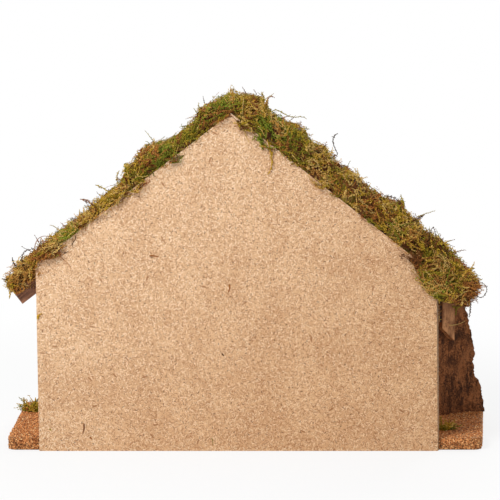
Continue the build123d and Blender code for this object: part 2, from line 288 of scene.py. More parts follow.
def slopePoint(side, along, lift):  # x and z at a distance down a slope, and so far square above it
    x = peak.x + side * (along * math.cos(pitch[side]) + lift * math.sin(pitch[side]))
    return x, peak.z - along * math.sin(pitch[side]) + lift * math.cos(pitch[side])


# camera, lights and floor

studio = {
    "camera": (0.0045, -2.4, 0.402),
    "tilt": 84.25,
    "lens": 197.5,
    "lights": {  # place, watts, size, height that it is aimed at
        "key": ((-0.6, -1.0, 1.05), 15, 0.5, 0.16),
        "fill": ((1.9, -1.6, 0.9), 6, 1.6, 0.12),
        "front": ((0.5, 2.4, 1.5), 42, 1.6, 0.12),
    },
    "ambient": 0.4,
    "floorSize": 8.0,
    "floorDrop": 0.2 * mm,  # below the object, so that the two don't flicker
    "floorColour": (0.86, 0.86, 0.86, 1),
    "floorWhite": 0.8,  # share of white near the object, where its shadow falls
    "whiteFrom": 0.42,
    "whiteTo": 0.95,
}

cameraData = bpy.data.cameras.new("camera")
cameraData.lens = studio["lens"]
cameraData.sensor_width = 36
cameraData.clip_end = 100
camera = bpy.data.objects.new("camera", cameraData)
camera.location = studio["camera"]
camera.rotation_euler = (math.radians(studio["tilt"]), 0, 0)
bpy.context.collection.objects.link(camera)
bpy.context.scene.camera = camera
bpy.context.scene.view_settings.view_transform = "Standard"


def areaLight(name, place, watts, size, aim):
    data = bpy.data.lights.new(name, "AREA")
    data.energy = watts
    data.size = size
    light = bpy.data.objects.new(name, data)
    light.location = place
    light.rotation_euler = (Vector((0, 0, aim)) - Vector(place)).to_track_quat("-Z", "Y").to_euler()
    bpy.context.collection.objects.link(light)


for lightName, light in studio["lights"].items():
    areaLight(lightName, *light)


def backdropRays(tree):  # 1 for the rays that show the white background, else 0
    path = tree.nodes.new("ShaderNodeLightPath")
    seen = calc(tree, "MAXIMUM", path.outputs["Is Camera Ray"], path.outputs["Is Glossy Ray"])
    return calc(tree, "MAXIMUM", seen, path.outputs["Is Transmission Ray"])


world = bpy.data.worlds.new("studio")
world.use_nodes = True
bpy.context.scene.world = world
sky = world.node_tree
backdrop = sky.nodes["Background"]
backdrop.inputs["Color"].default_value = (1, 1, 1, 1)
level = sky.nodes.new("ShaderNodeMapRange")
sky.links.new(backdropRays(sky), level.inputs[0])
level.inputs[3].default_value = studio["ambient"]
level.inputs[4].default_value = 1.0
sky.links.new(level.outputs[0], backdrop.inputs["Strength"])

half = studio["floorSize"] / 2
floorCorners = np.array([(-half, -half, 0), (half, -half, 0), (half, half, 0), (-half, half, 0)])
floorTris = np.array([(0, 1, 2), (0, 2, 3)])
floor = meshObject("floor", floorCorners - (0, 0, studio["floorDrop"]), floorTris, smooth=False)
floorLook, tree, shader = newMaterial("pale_floor")
coated(tree, shader, studio["floorColour"], 0.9, 0.1)
glow = tree.nodes.new("ShaderNodeEmission")
distance = vectorCalc(tree, "LENGTH", spot(tree, 1))
away = eased(tree, distance, studio["whiteFrom"], studio["whiteTo"], studio["floorWhite"], 1.0)
share = calc(tree, "MULTIPLY", away, backdropRays(tree))
blend = tree.nodes.new("ShaderNodeMixShader")
tree.links.new(share, blend.inputs[0])
tree.links.new(shader.outputs[0], blend.inputs[1])
tree.links.new(glow.outputs[0], blend.inputs[2])
tree.links.new(blend.outputs[0], tree.nodes["Material Output"].inputs["Surface"])
floor.data.materials.append(floorLook)
floor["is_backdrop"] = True
print("camera, lights and floor set")


# particle board: every cell of a scatter holds one flake, turned its own way

board = {
    "pale": rgb(225, 185, 146),
    "deep": rgb(213, 171, 132),
    "lightFlake": rgb(247, 221, 190),
    "brownFlake": rgb(156, 106, 68),
    "speck": rgb(84, 54, 35),
    "edgeShade": 0.62,
    "upperLeftTint": (1.02, 1.05, 1.06, 1),
    "lowerRightTint": (0.89, 0.84, 0.76, 1),
    "tintWay": (0.6, 0, -0.8),  # darker and yellower downwards and to the right
    "tintSpan": (-0.26, 0.04),
    "blotch": 35 * mm,
    "dust": 0.8 * mm,
    "dustShare": 0.45,
    "layers": (  # cell, length, width and shift in mm, tint, share from, share to, strength
        (3.4, 5.2, 1.1, (13, 7, 21), "brownFlake", 0.3, 0.9, 0.6),
        (2.6, 4.2, 0.9, (31, 17, 3), "lightFlake", 0.3, 0.9, 0.75),
        (1.9, 3.0, 0.7, (43, 29, 37), "brownFlake", 0.35, 0.9, 0.75),
        (1.7, 2.6, 0.6, (2, 11, 27), "lightFlake", 0.35, 0.9, 0.8),
        (1.4, 1.7, 0.6, (51, 5, 33), "brownFlake", 0.5, 0.95, 0.85),
        (5.5, 2.6, 1.0, (7, 23, 5), "speck", 0.55, 0.9, 0.8),
        (21, 6.2, 1.5, (19, 41, 13), "brownFlake", 0.7, 0.95, 0.9),
    ),
}


def flakes(tree, cell, length, width, shift, flat):  # sizes in mm; flat is the axis square to the face
    here = spot(tree, cell * mm, origin=tuple(part * mm for part in shift))
    scatter, dice = cellsOf(tree, here)
    local = vectorCalc(tree, "SUBTRACT", here, scatter.outputs["Position"])
    spin = tree.nodes.new("ShaderNodeVectorRotate")
    spin.rotation_type = ("X_AXIS", "Y_AXIS", "Z_AXIS")[flat]
    tree.links.new(local, spin.inputs["Vector"])
    tree.links.new(calc(tree, "MULTIPLY", dice[0], math.tau), spin.inputs["Angle"])
    squeeze = [cell / length, cell / width]
    squeeze.insert(flat, 0.55)
    narrowed = vectorCalc(tree, "MULTIPLY", spin.outputs[0], squeeze)
    return eased(tree, vectorCalc(tree, "LENGTH", narrowed), 0.55, 0.3), dice[1]


def particleBoard(name, values, faceWay):
    material, tree, shader = newMaterial(name)
    blotch = noiseOf(tree, spot(tree, values["blotch"]), 3, 0.6)
    colour = mixed(tree, eased(tree, blotch, 0.35, 0.65), values["pale"], values["deep"])
    dust = noiseOf(tree, spot(tree, values["dust"]), 2, 0.6)
    dusty = eased(tree, dust, 0.35, 0.8, 0.0, values["dustShare"])
    colour = mixed(tree, dusty, colour, values["brownFlake"])
    height = dust
    for cell, length, width, shift, tint, low, high, most in values["layers"]:
        mask, chance = flakes(tree, cell, length, width, shift, faceWay.index(1))
        amount = calc(tree, "MULTIPLY", mask, eased(tree, chance, low, high, 0.0, most))
        colour = mixed(tree, amount, colour, values[tint])
        height = calc(tree, "ADD" if tint == "lightFlake" else "SUBTRACT", height, amount)
    lowerRight = eased(tree, axisOf(tree, values["tintWay"]), *values["tintSpan"])
    tone = ramp(tree, lowerRight, ((0.0, values["upperLeftTint"]), (1.0, values["lowerRightTint"])))
    colour = mixed(tree, 1.0, colour, tone, "MULTIPLY")
    face = eased(tree, facing(tree, faceWay), 0.75, 0.92, values["edgeShade"], 1.0)
    tone = tree.nodes.new("ShaderNodeCombineColor")
    for socket in tone.inputs[:3]:
        tree.links.new(face, socket)
    coated(tree, shader, mixed(tree, 1.0, colour, tone.outputs[0], "MULTIPLY"), 0.82, 0.25)
    bumped(tree, shader, height, 0.3, 0.3 * mm)
    return material


# sawn and stained wood, the grain along the local X of a turn

def woodLook(name, turn, tones, rough=0.72, ringSize=7.5 * mm, mottle=0.0):
    light, dark = tones
    pore = tuple(0.35 * part for part in dark[:3]) + (1,)
    material, tree, shader = newMaterial(name)
    fibre = noiseOf(tree, spot(tree, (22 * mm, 0.9 * mm, 0.9 * mm), turn), 4, 0.65)
    broad = noiseOf(tree, spot(tree, (120 * mm, ringSize, ringSize), turn), 2, 0.5, 0.5)
    rings = calc(tree, "SINE", calc(tree, "MULTIPLY", broad, 34.0))
    tone = weighed(tree, fibre, 0.75, rings, 0.13)
    streaks = noiseOf(tree, spot(tree, (9 * mm, 0.4 * mm, 0.4 * mm), turn), 1, 0.5)
    pores = eased(tree, streaks, 0.66, 0.74)
    worn = noiseOf(tree, spot(tree, (30 * mm, 12 * mm, 12 * mm), turn), 3, 0.6)
    colour = ramp(tree, tone, ((0.18, dark), (0.62, light)))
    colour = mixed(tree, eased(tree, worn, 0.45, 0.75, 0.0, 0.4), colour, light)
    stain = noiseOf(tree, spot(tree, (6 * mm, 3.5 * mm, 3.5 * mm), turn), 4, 0.65)
    colour = mixed(tree, eased(tree, stain, 0.45, 0.65, 0.0, mottle), colour, dark)
    colour = mixed(tree, eased(tree, stain, 0.45, 0.3, 0.0, mottle), colour, light)
    colour = mixed(tree, calc(tree, "MULTIPLY", pores, 0.7), colour, pore)
    coated(tree, shader, colour, rough, 0.3)
    bumped(tree, shader, calc(tree, "SUBTRACT", tone, calc(tree, "MULTIPLY", pores, 0.6)), 0.5, 0.5 * mm)
    return material


alongY = (0, 0, math.pi / 2)
alongZ = (0, math.pi / 2, 0)
alongLeft = (0, -pitch[left], 0)  # up the left slope
alongRight = (0, pitch[right], 0)  # down the right slope

woods = {  # each wood has a light and a dark tone
    "sawn": (rgb(154, 106, 78), rgb(88, 55, 38)),
    # painted light: a lighter copy of the sawn wood for the wall plates, whose ends sit in shade
    "plate": (rgb(206, 158, 116), rgb(140, 98, 68)),
    "stained": (rgb(128, 88, 56), rgb(70, 44, 26)),
    "plank": (rgb(216, 156, 106), rgb(112, 70, 42)),
    # painted shadow: colour, width and blur of the dark stripe at the right plate's end
    "gap": rgb(26, 15, 9),
    "shadowStripeWide": 1.1 * mm,
    "shadowStripeBlur": 0.3 * mm,
    "plankShade": (15 * mm, 38 * mm, 0.75),  # painted shade under the eave: from and to above its tip, most
}

finishes = {
    "back_panel": particleBoard("particle_board_panel", board, (0, 1, 0)),
    "left_wall": particleBoard("particle_board_wall", board, (1, 0, 0)),
    "base_board": particleBoard("particle_board_base", board, (0, 0, 1)),
    "left_roof_board": woodLook("stained_board_left", alongY, woods["stained"], 0.75, 12 * mm),
    "left_rear_rafter": woodLook("sawn_left_rafter", alongLeft, woods["sawn"], mottle=0.6),
    "right_rear_rafter": woodLook("sawn_right_rafter", alongRight, woods["sawn"], mottle=0.6),
    "ridge_beam": woodLook("sawn_lengthwise", alongY, woods["sawn"]),
    "left_wall_plate": woodLook("sawn_plate", alongY, woods["plate"], mottle=0.4),
    "left_corner_batten": woodLook("sawn_upright", alongZ, woods["sawn"]),
    "bark_batten": woodLook("plank_upright", alongZ, woods["plank"], 0.8, 20 * mm, 0.8),
}

tree = finishes["left_wall_plate"].node_tree  # painted shadow between the plate's end and the plank: a dark stripe along the outer side of the plate's end face
shadowStripeFrom = plateHigh.x - woods["shadowStripeWide"]
outermost = eased(tree, axisOf(tree, (1, 0, 0)), shadowStripeFrom - woods["shadowStripeBlur"], shadowStripeFrom)
plateEndFace = eased(tree, facing(tree, (0, 1, 0)), 0.8, 0.9)
paintShade(finishes["left_wall_plate"], calc(tree, "MULTIPLY", outermost, plateEndFace), woods["gap"])

tree = finishes["bark_batten"].node_tree  # painted shade under the eave, darker towards the top
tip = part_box("bark_batten")[0].z
shadeFrom, shadeTo, shadeMost = woods["plankShade"]
shade = eased(tree, axisOf(tree, (0, 0, 1)), tip + shadeFrom, tip + shadeTo, 0.0, shadeMost)
paintShade(finishes["bark_batten"], shade, woods["plank"][1])

for kind in ("wall", "roof_board", "wall_plate", "corner_batten"):
    finishes["right_" + kind] = finishes["left_" + kind]


# cork ground: the CAD coat as glued grit, loose granules over it

cork = {
    "shades": (
        (0.0, rgb(118, 66, 32)),
        (0.3, rgb(178, 111, 62)),
        (0.6, rgb(218, 148, 90)),
        (0.85, rgb(240, 181, 122)),
        (1.0, rgb(250, 212, 160)),
    ),
    "between": rgb(58, 30, 15),
    "coatGrain": 1.3 * mm,
    "granuleMin": 0.5 * mm,
    "granuleMax": 1.05 * mm,
    "frontEdge": 20 * mm,  # from the roof's front edge to where the coat starts to bow out
    "cornerFrom": 92 * mm,  # from the middle, where the rounded corners begin
    "cornerInset": 8 * mm,
    "yardInset": (14 * mm, 4 * mm),  # from the panel's left and right edge
    "roomInset": (18 * mm, 16 * mm),
    "sideInset": 8 * mm,  # rims end short of the rounded corners
    "frontInset": 14 * mm,
    "rearInset": 9 * mm,
    "rimLowest": 2 * mm,
    "rearLowest": 6 * mm,
    "leftYard": 1900,  # granules in each area
    "rightYard": 2700,
    "room": 2500,
    "rims": 1300,
    "frontRim": 520,
    "rearRim": 220,
}


def corkCoat(name, values):
    material, tree, shader = newMaterial(name)
    grains, dice = cellsOf(tree, spot(tree, values["coatGrain"]))
    patch = noiseOf(tree, spot(tree, 20 * mm), 2, 0.5)
    colour = ramp(tree, weighed(tree, dice[0], 0.75, patch, 0.2), values["shades"])
    gap = eased(tree, grains.outputs["Distance"], 0.35, 0.75, 0.0, 0.75)
    coated(tree, shader, mixed(tree, gap, colour, values["between"]), 0.85)
    bumped(tree, shader, calc(tree, "SUBTRACT", 1.0, grains.outputs["Distance"]), 0.9, 0.9 * mm)
    return material


finishes["ground_cover"] = corkCoat("cork_coat", cork)
for nodeName, finish in finishes.items():
    nodes[nodeName].data.materials.clear()
    nodes[nodeName].data.materials.append(finish)
print("CAD pieces finished:", len(finishes))


def paletteLook(name, shades, shadeAndToneAlong, rough):  # colour from the piece's own palette map, times a brightness from its second coordinate: painted shade on the moss, random tone on the cork granules
    material, tree, shader = newMaterial(name)
    uvMap = tree.nodes.new("ShaderNodeUVMap")
    uvMap.uv_map = paletteMap
    parts = tree.nodes.new("ShaderNodeSeparateXYZ")
    tree.links.new(uvMap.outputs[0], parts.inputs[0])
    colour = ramp(tree, parts.outputs[0], shades)
    shade = ramp(tree, parts.outputs[1], shadeAndToneAlong)
    coated(tree, shader, mixed(tree, 1.0, colour, shade, "MULTIPLY"), rough)
    return material


def grey(value):
    return (value, value, value, 1)


golden = (1 + 5 ** 0.5) / 2
ball = [np.roll((one, two, 0), k) for k in range(3) for two in (golden, -golden) for one in (-1, 1)]
ball = np.array(ball) / math.hypot(1, golden)  # twelve corners, one away from the middle
ballTris = np.array((
    (0, 11, 5), (0, 5, 1), (0, 1, 7), (0, 7, 10), (0, 10, 11),
    (1, 5, 9), (5, 11, 4), (11, 10, 2), (10, 7, 6), (7, 1, 8),
    (3, 9, 4), (3, 4, 2), (3, 2, 6), (3, 6, 8), (3, 8, 9),
    (4, 9, 5), (2, 4, 11), (6, 2, 10), (8, 6, 7), (9, 8, 1),
))


def granules(centres, sizes, tints, rng):  # uneven twenty-sided lumps, each turned its own way
    count, corners = len(centres), len(ball)
    shapes = ball[None] * rng.uniform(0.65, 1.2, (count, corners, 1)) * rng.uniform(0.7, 1.25, (count, 1, 3))
    first = unit(rng.normal(size=(count, 3)))
    second = unit(np.cross(first, rng.normal(size=(count, 3))))
    axes = (first, second, np.cross(first, second))
    turned = sum(shapes[..., k:k + 1] * axis[:, None] for k, axis in enumerate(axes))
    verts = centres[:, None] + turned * sizes[:, None, None]
    tris = (ballTris[None] + corners * np.arange(count)[:, None, None]).reshape(-1, 3)
    across = tints[:, None] + rng.uniform(-0.012, 0.012, (count, corners))
    uv = np.stack((across, rng.uniform(0.15, 0.85, (count, corners))), -1)
    return verts.reshape(-1, 3), tris, np.clip(uv.reshape(-1, 2), 0.003, 0.997)


rng = np.random.default_rng(41)
groundZ = coverHigh.z
rearRimY, frontRimY = panelHigh.y, roofHigh.y + cork["frontEdge"]


def rightRim(y):  # the coat's right rim flares towards the front
    part = (y - coverLow.y) / (coverHigh.y - coverLow.y)
    return -coverLow.x + (coverHigh.x + coverLow.x) * part


def groundSpots(count, xLow, xHigh):
    x = rng.uniform(xLow, xHigh, count * 2)
    y = rng.uniform(rearRimY + 1 * mm, frontRimY, count * 2)
    inset = np.where(np.abs(y) > cork["cornerFrom"], cork["cornerInset"], 1 * mm)
    keep = (x > coverLow.x + inset) & (x < rightRim(y) - inset)
    return np.stack((x[keep], y[keep], np.full(keep.sum(), groundZ)), 1)[:count]


def rimSpots(x, y, lowest):
    height = rng.uniform(lowest, groundZ - 0.6 * mm, len(x))
    return np.stack((x, y, height), 1)


rimY = rng.uniform(rearRimY + cork["sideInset"], frontRimY - cork["sideInset"], cork["rims"])
rimX = np.where(rng.random(cork["rims"]) < 0.5, coverLow.x, rightRim(rimY))
frontX = rng.uniform(coverLow.x + cork["frontInset"], coverHigh.x - cork["frontInset"], cork["frontRim"])
middleX = (coverLow.x + coverHigh.x) / 2
bow = 1 - ((frontX - middleX) / (coverHigh.x - middleX)) ** 2
rearHalf = -coverLow.x - cork["rearInset"]
rearX = rng.uniform(-rearHalf, rearHalf, cork["rearRim"] * 6)  # most fall behind the panel and are left out
rearX = rearX[(rearX < panelLow.x - 1 * mm) | (rearX > panelHigh.x + 1 * mm)]
spots = np.concatenate((
    groundSpots(cork["leftYard"], coverLow.x, panelLow.x + cork["yardInset"][0]),
    groundSpots(cork["rightYard"], panelHigh.x - cork["yardInset"][1], coverHigh.x),
    groundSpots(cork["room"], panelLow.x + cork["roomInset"][0], panelHigh.x - cork["roomInset"][1]),
    rimSpots(rimX, rimY, cork["rimLowest"]),
    rimSpots(frontX, frontRimY + (coverHigh.y - frontRimY) * bow, cork["rimLowest"]),
    rimSpots(rearX, np.full(len(rearX), coverLow.y), cork["rearLowest"]),
))
sizes = rng.uniform(cork["granuleMin"], cork["granuleMax"], len(spots))
tints = 0.5 + 0.12 * softNoise(spots, 20 * mm, 3) + 0.24 * rng.normal(size=len(spots))
tints = np.clip(tints, 0.03, 0.97)
corkGrains = meshObject("cork_granules", *granules(spots, sizes, tints, rng), smooth=False)
corkLook = paletteLook("cork_grain", cork["shades"], ((0.0, grey(0.85)), (1.0, grey(1.1))), 0.8)
onRoot(corkGrains, "cork_grit", corkLook)
print("cork granules:", len(spots))


# logs: the CAD log remeshed, its skin grown rough, with end grain at the cuts

logs = {
    "pieces": {  # turn of the grain, seed
        "left_front_post": (alongZ, 11),
        "right_front_post": (alongZ, 15),
        "tie_beam": ((0, 0, 0), 19),
        "left_front_rafter": (alongLeft, 23),
        "right_front_rafter": (alongRight, 27),
    },
    "voxel": 1.15 * mm,
    "drawnOut": 0.88,  # of the noise along the log
    "ridge": 0.55 * mm,
    "ridgeSize": 3.2 * mm,
    "fine": 0.22 * mm,
    "fineSize": 1.5 * mm,
    "swell": 0.35 * mm,
    "swellSize": 26 * mm,
    "ringSize": 1.2 * mm,
    "barkLight": rgb(142, 112, 84),
    "barkDark": rgb(66, 45, 31),
    "lichen": rgb(150, 142, 112),
    "endWood": rgb(206, 166, 116),
    "endRing": rgb(150, 106, 66),
}


def lengthwise(turn):  # the way that a turn's local X points
    axis = Vector((1, 0, 0))
    axis.rotate(Euler(turn))
    return axis


def barkedLook(name, turn, origin, values):
    material, tree, shader = newMaterial(name)
    cracks = noiseOf(tree, spot(tree, (18 * mm, 1.7 * mm, 1.7 * mm), turn), 4, 0.6, 0.4)
    scale = noiseOf(tree, spot(tree, (6 * mm, 4 * mm, 4 * mm), turn), 3, 0.6)
    tone = weighed(tree, cracks, 0.7, scale, 0.35)
    colour = ramp(tree, tone, ((0.34, values["barkDark"]), (0.68, values["barkLight"])))
    growth = noiseOf(tree, spot(tree, (13 * mm, 9 * mm, 9 * mm), turn), 3, 0.7)
    colour = mixed(tree, eased(tree, growth, 0.6, 0.72, 0.0, 0.55), colour, values["lichen"])
    parts = tree.nodes.new("ShaderNodeSeparateXYZ")
    tree.links.new(spot(tree, 1, turn, origin), parts.inputs[0])
    squares = [calc(tree, "POWER", across, 2.0) for across in parts.outputs[1:]]
    out = calc(tree, "SQRT", calc(tree, "ADD", *squares))
    wobble = calc(tree, "MULTIPLY", noiseOf(tree, spot(tree, 4 * mm), 2, 0.5), 1.6 * mm)
    waves = calc(tree, "MULTIPLY", calc(tree, "ADD", out, wobble), math.tau / values["ringSize"])
    rings = eased(tree, calc(tree, "SINE", waves), -0.4, 0.9)
    wood = mixed(tree, rings, values["endRing"], values["endWood"])
    cut = eased(tree, facing(tree, tuple(lengthwise(turn))), 0.75, 0.9)
    coated(tree, shader, mixed(tree, cut, colour, wood), 0.85)
    bumped(tree, shader, tone, 0.6, 0.7 * mm)
    return material


def barkedLog(nodeName, turn, seed, values):
    source = nodes[nodeName]
    rough = bpy.data.objects.new(nodeName + "_copy", source.data.copy())
    bpy.context.collection.objects.link(rough)
    remesh = rough.modifiers.new("voxels", "REMESH")
    remesh.mode = "VOXEL"
    remesh.voxel_size = values["voxel"]
    bpy.context.view_layer.update()
    mesh = bpy.data.meshes.new_from_object(rough.evaluated_get(bpy.context.evaluated_depsgraph_get()))
    bpy.data.objects.remove(rough)
    count = len(mesh.vertices)
    co = np.empty(count * 3, dtype=np.float32)
    normal = np.empty(count * 3, dtype=np.float32)
    mesh.vertices.foreach_get("co", co)
    mesh.vertices.foreach_get("normal", normal)
    co = co.reshape(-1, 3).astype(float)
    normal = normal.reshape(-1, 3)
    axis = np.array(lengthwise(turn))
    drawn = co - np.outer(co @ axis, axis) * values["drawnOut"]
    skin = np.abs(softNoise(drawn, values["ridgeSize"], seed))
    grain = softNoise(drawn, values["fineSize"], seed + 1)
    swell = softNoise(co, values["swellSize"], seed + 2)
    depth = -values["ridge"] * (1 - skin) + values["fine"] * grain + values["swell"] * (swell - 1)
    side = 1 - np.abs(normal @ axis) ** 2  # cuts stay flat
    co = co + normal * (depth * side)[:, None]
    mesh.vertices.foreach_set("co", co.astype(np.float32).ravel())
    mesh.polygons.foreach_set("use_smooth", np.ones(len(mesh.polygons), dtype=bool))
    mesh.update()
    piece = bpy.data.objects.new(nodeName + "_log", mesh)
    bpy.context.collection.objects.link(piece)
    low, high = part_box(nodeName)
    middle = (low + high) / 2
    onRoot(piece, "log", barkedLook(nodeName + "_bark", turn, tuple(middle), values), nodeName)


for nodeName, (turn, seed) in logs["pieces"].items():
    barkedLog(nodeName, turn, seed, logs)
print("logs grown:", len(logs["pieces"]))


# bark slab: hollow inner face, furrowed outer face, ragged broken edge

slab = {
    "angle": 37.5,  # turned towards the front
    "standBack": 58 * mm,  # behind the front posts
    "length": 60 * mm,
    "tuck": 10 * mm,  # the hollow's curve goes on past the inner edge
    "start": 2.5 * mm,
    "bow": 5 * mm,
    "thick": 7 * mm,
    "lip": 3 * mm,  # thickness left at the edges
    "underRoof": 6.3 * mm,
    "sunk": 0.4 * mm,  # into the cork coat
    "ragged": (  # amount, size and seed of the noise along the broken edge
        (1.3 * mm, 9 * mm, 5),
        (0.9 * mm, 3.1 * mm, 6),
        (0.5 * mm, 1.3 * mm, 7),
    ),
    "furrows": (2.6 * mm, 5 * mm),  # depth, size
    "furrowGrain": (0.5 * mm, 1.7 * mm, 9),  # amount, size, seed
    "hollowLumps": ((0.8 * mm, 6 * mm, 10), (0.4 * mm, 1.6 * mm, 11)),
    "heights": (0, 0.15, 0.225, 0.26, 0.385, 0.41, 0.56, 0.78, 1),
    "lengths": (1.0, 0.97, 0.93, 0.86, 0.83, 0.86, 0.79, 0.65, 0.53),
    "rows": 150,
    "cols": 56,
    "dark": rgb(52, 27, 14),
    "mid": rgb(114, 68, 38),
    "warm": rgb(160, 102, 62),
    "crack": rgb(20, 10, 6),
}


def barkLook(name, values):
    material, tree, shader = newMaterial(name)
    fibre = noiseOf(tree, spot(tree, (13 * mm, 3.8 * mm, 3.8 * mm), alongZ), 5, 0.7, 0.8)
    plate = noiseOf(tree, spot(tree, (22 * mm, 11 * mm, 11 * mm), alongZ), 4, 0.6, 0.6)
    crumbs = noiseOf(tree, spot(tree, (1.8 * mm, 1.4 * mm, 1.4 * mm)), 3, 0.6)
    tone = weighed(tree, fibre, 0.45, crumbs, 0.55)
    colour = ramp(tree, tone, ((0.38, values["dark"]), (0.5, values["mid"]), (0.6, values["warm"])))
    colour = mixed(tree, eased(tree, plate, 0.5, 0.62, 0.0, 0.6), colour, values["warm"])
    colour = mixed(tree, eased(tree, plate, 0.47, 0.36, 0.0, 0.75), colour, values["dark"])
    split = noiseOf(tree, spot(tree, (20 * mm, 7 * mm, 7 * mm), alongZ), 3, 0.6, 1.4)
    line = eased(tree, calc(tree, "ABSOLUTE", calc(tree, "SUBTRACT", split, 0.44)), 0.016, 0.0, 0.0, 0.75)
    coated(tree, shader, mixed(tree, line, colour, values["crack"]), 0.88)
    bumped(tree, shader, calc(tree, "SUBTRACT", tone, calc(tree, "MULTIPLY", line, 0.5)), 0.8, 1.4 * mm)
    return material


def barkSlab(values):
    rows, cols = values["rows"], values["cols"]
    angle = math.radians(values["angle"])
    postLow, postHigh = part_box("right_front_post")
    footX, footY = plateHigh.x, (postLow.y + postHigh.y) / 2 - values["standBack"]
    low = groundZ - values["sunk"]
    roofDrop = values["underRoof"] / math.cos(pitch[right])

    def roofZ(x):
        return peak.z - (x - peak.x) * math.tan(pitch[right]) - roofDrop

    top = roofZ(footX)
    share = np.linspace(0, 1, rows)[:, None]
    part = np.linspace(0, 1, cols)[None]
    middle = (values["length"] - values["tuck"]) / 2
    reach = middle + values["tuck"]
    faces = []
    for outer in (False, True):
        rim = values["lip"] if outer else 0
        hollow = values["bow"] + (values["thick"] if outer else 0)
        z = low + share * (top - low) + 0 * part
        for settling in range(4):  # the top follows the roof, the broken edge stays at its height
            line = np.stack((0 * z, 0 * z, z), -1)
            edge = np.interp((z - low) / (top - low), values["heights"], values["lengths"])
            edge = values["length"] * edge + layeredNoise(line, *values["ragged"])
            x = values["start"] + part * (edge - values["start"])
            y = rim + (hollow - rim) * (1 - ((x - middle) / reach) ** 2)
            worldX = footX + x * math.cos(angle) - y * math.sin(angle)
            z = low + share * (np.minimum(roofZ(worldX), top) - low)
        field = np.stack((x, np.full_like(x, 0.04 if outer else 0.0), z * 0.14), -1)
        if outer:
            deep, size = values["furrows"]
            furrow = np.abs(softNoise(field, size, 8)) ** 0.7
            relief = deep * (furrow - 0.5) + layeredNoise(field, values["furrowGrain"])
        else:
            lumps = np.stack((x, 0 * x, z * 0.5), -1)
            relief = layeredNoise(lumps, *values["hollowLumps"])
        y = y + relief * np.minimum(1, np.minimum(part, 1 - part) * 9)  # none at the two upright edges
        worldX = np.maximum(footX + x * math.cos(angle) - y * math.sin(angle), footX)
        worldY = footY + x * math.sin(angle) + y * math.cos(angle)
        faces.append(np.stack((worldX, worldY, z), -1).reshape(-1, 3))
    size = rows * cols
    inner = gridTris(rows, cols)
    outerTris = inner[:, ::-1] + size
    rimLine = np.concatenate((
        np.arange(cols),
        np.arange(1, rows) * cols + cols - 1,
        (rows - 1) * cols + np.arange(cols - 2, -1, -1),
        np.arange(rows - 2, 0, -1) * cols,
    ))
    after = np.roll(rimLine, -1)
    near = np.stack((after, rimLine, rimLine + size), 1)
    far = np.stack((after, rimLine + size, after + size), 1)
    tris = np.concatenate((inner, outerTris, near, far))
    piece = meshObject("bark_slab_rough", np.concatenate(faces), tris)
    onRoot(piece, "bark", barkLook("rough_bark", values), "bark_slab")


barkSlab(slab)
print("bark slab broken to shape")


# moss: a dark lumpy core over the roof, feathery sprigs in clumps on it; lengths with no unit are in mm

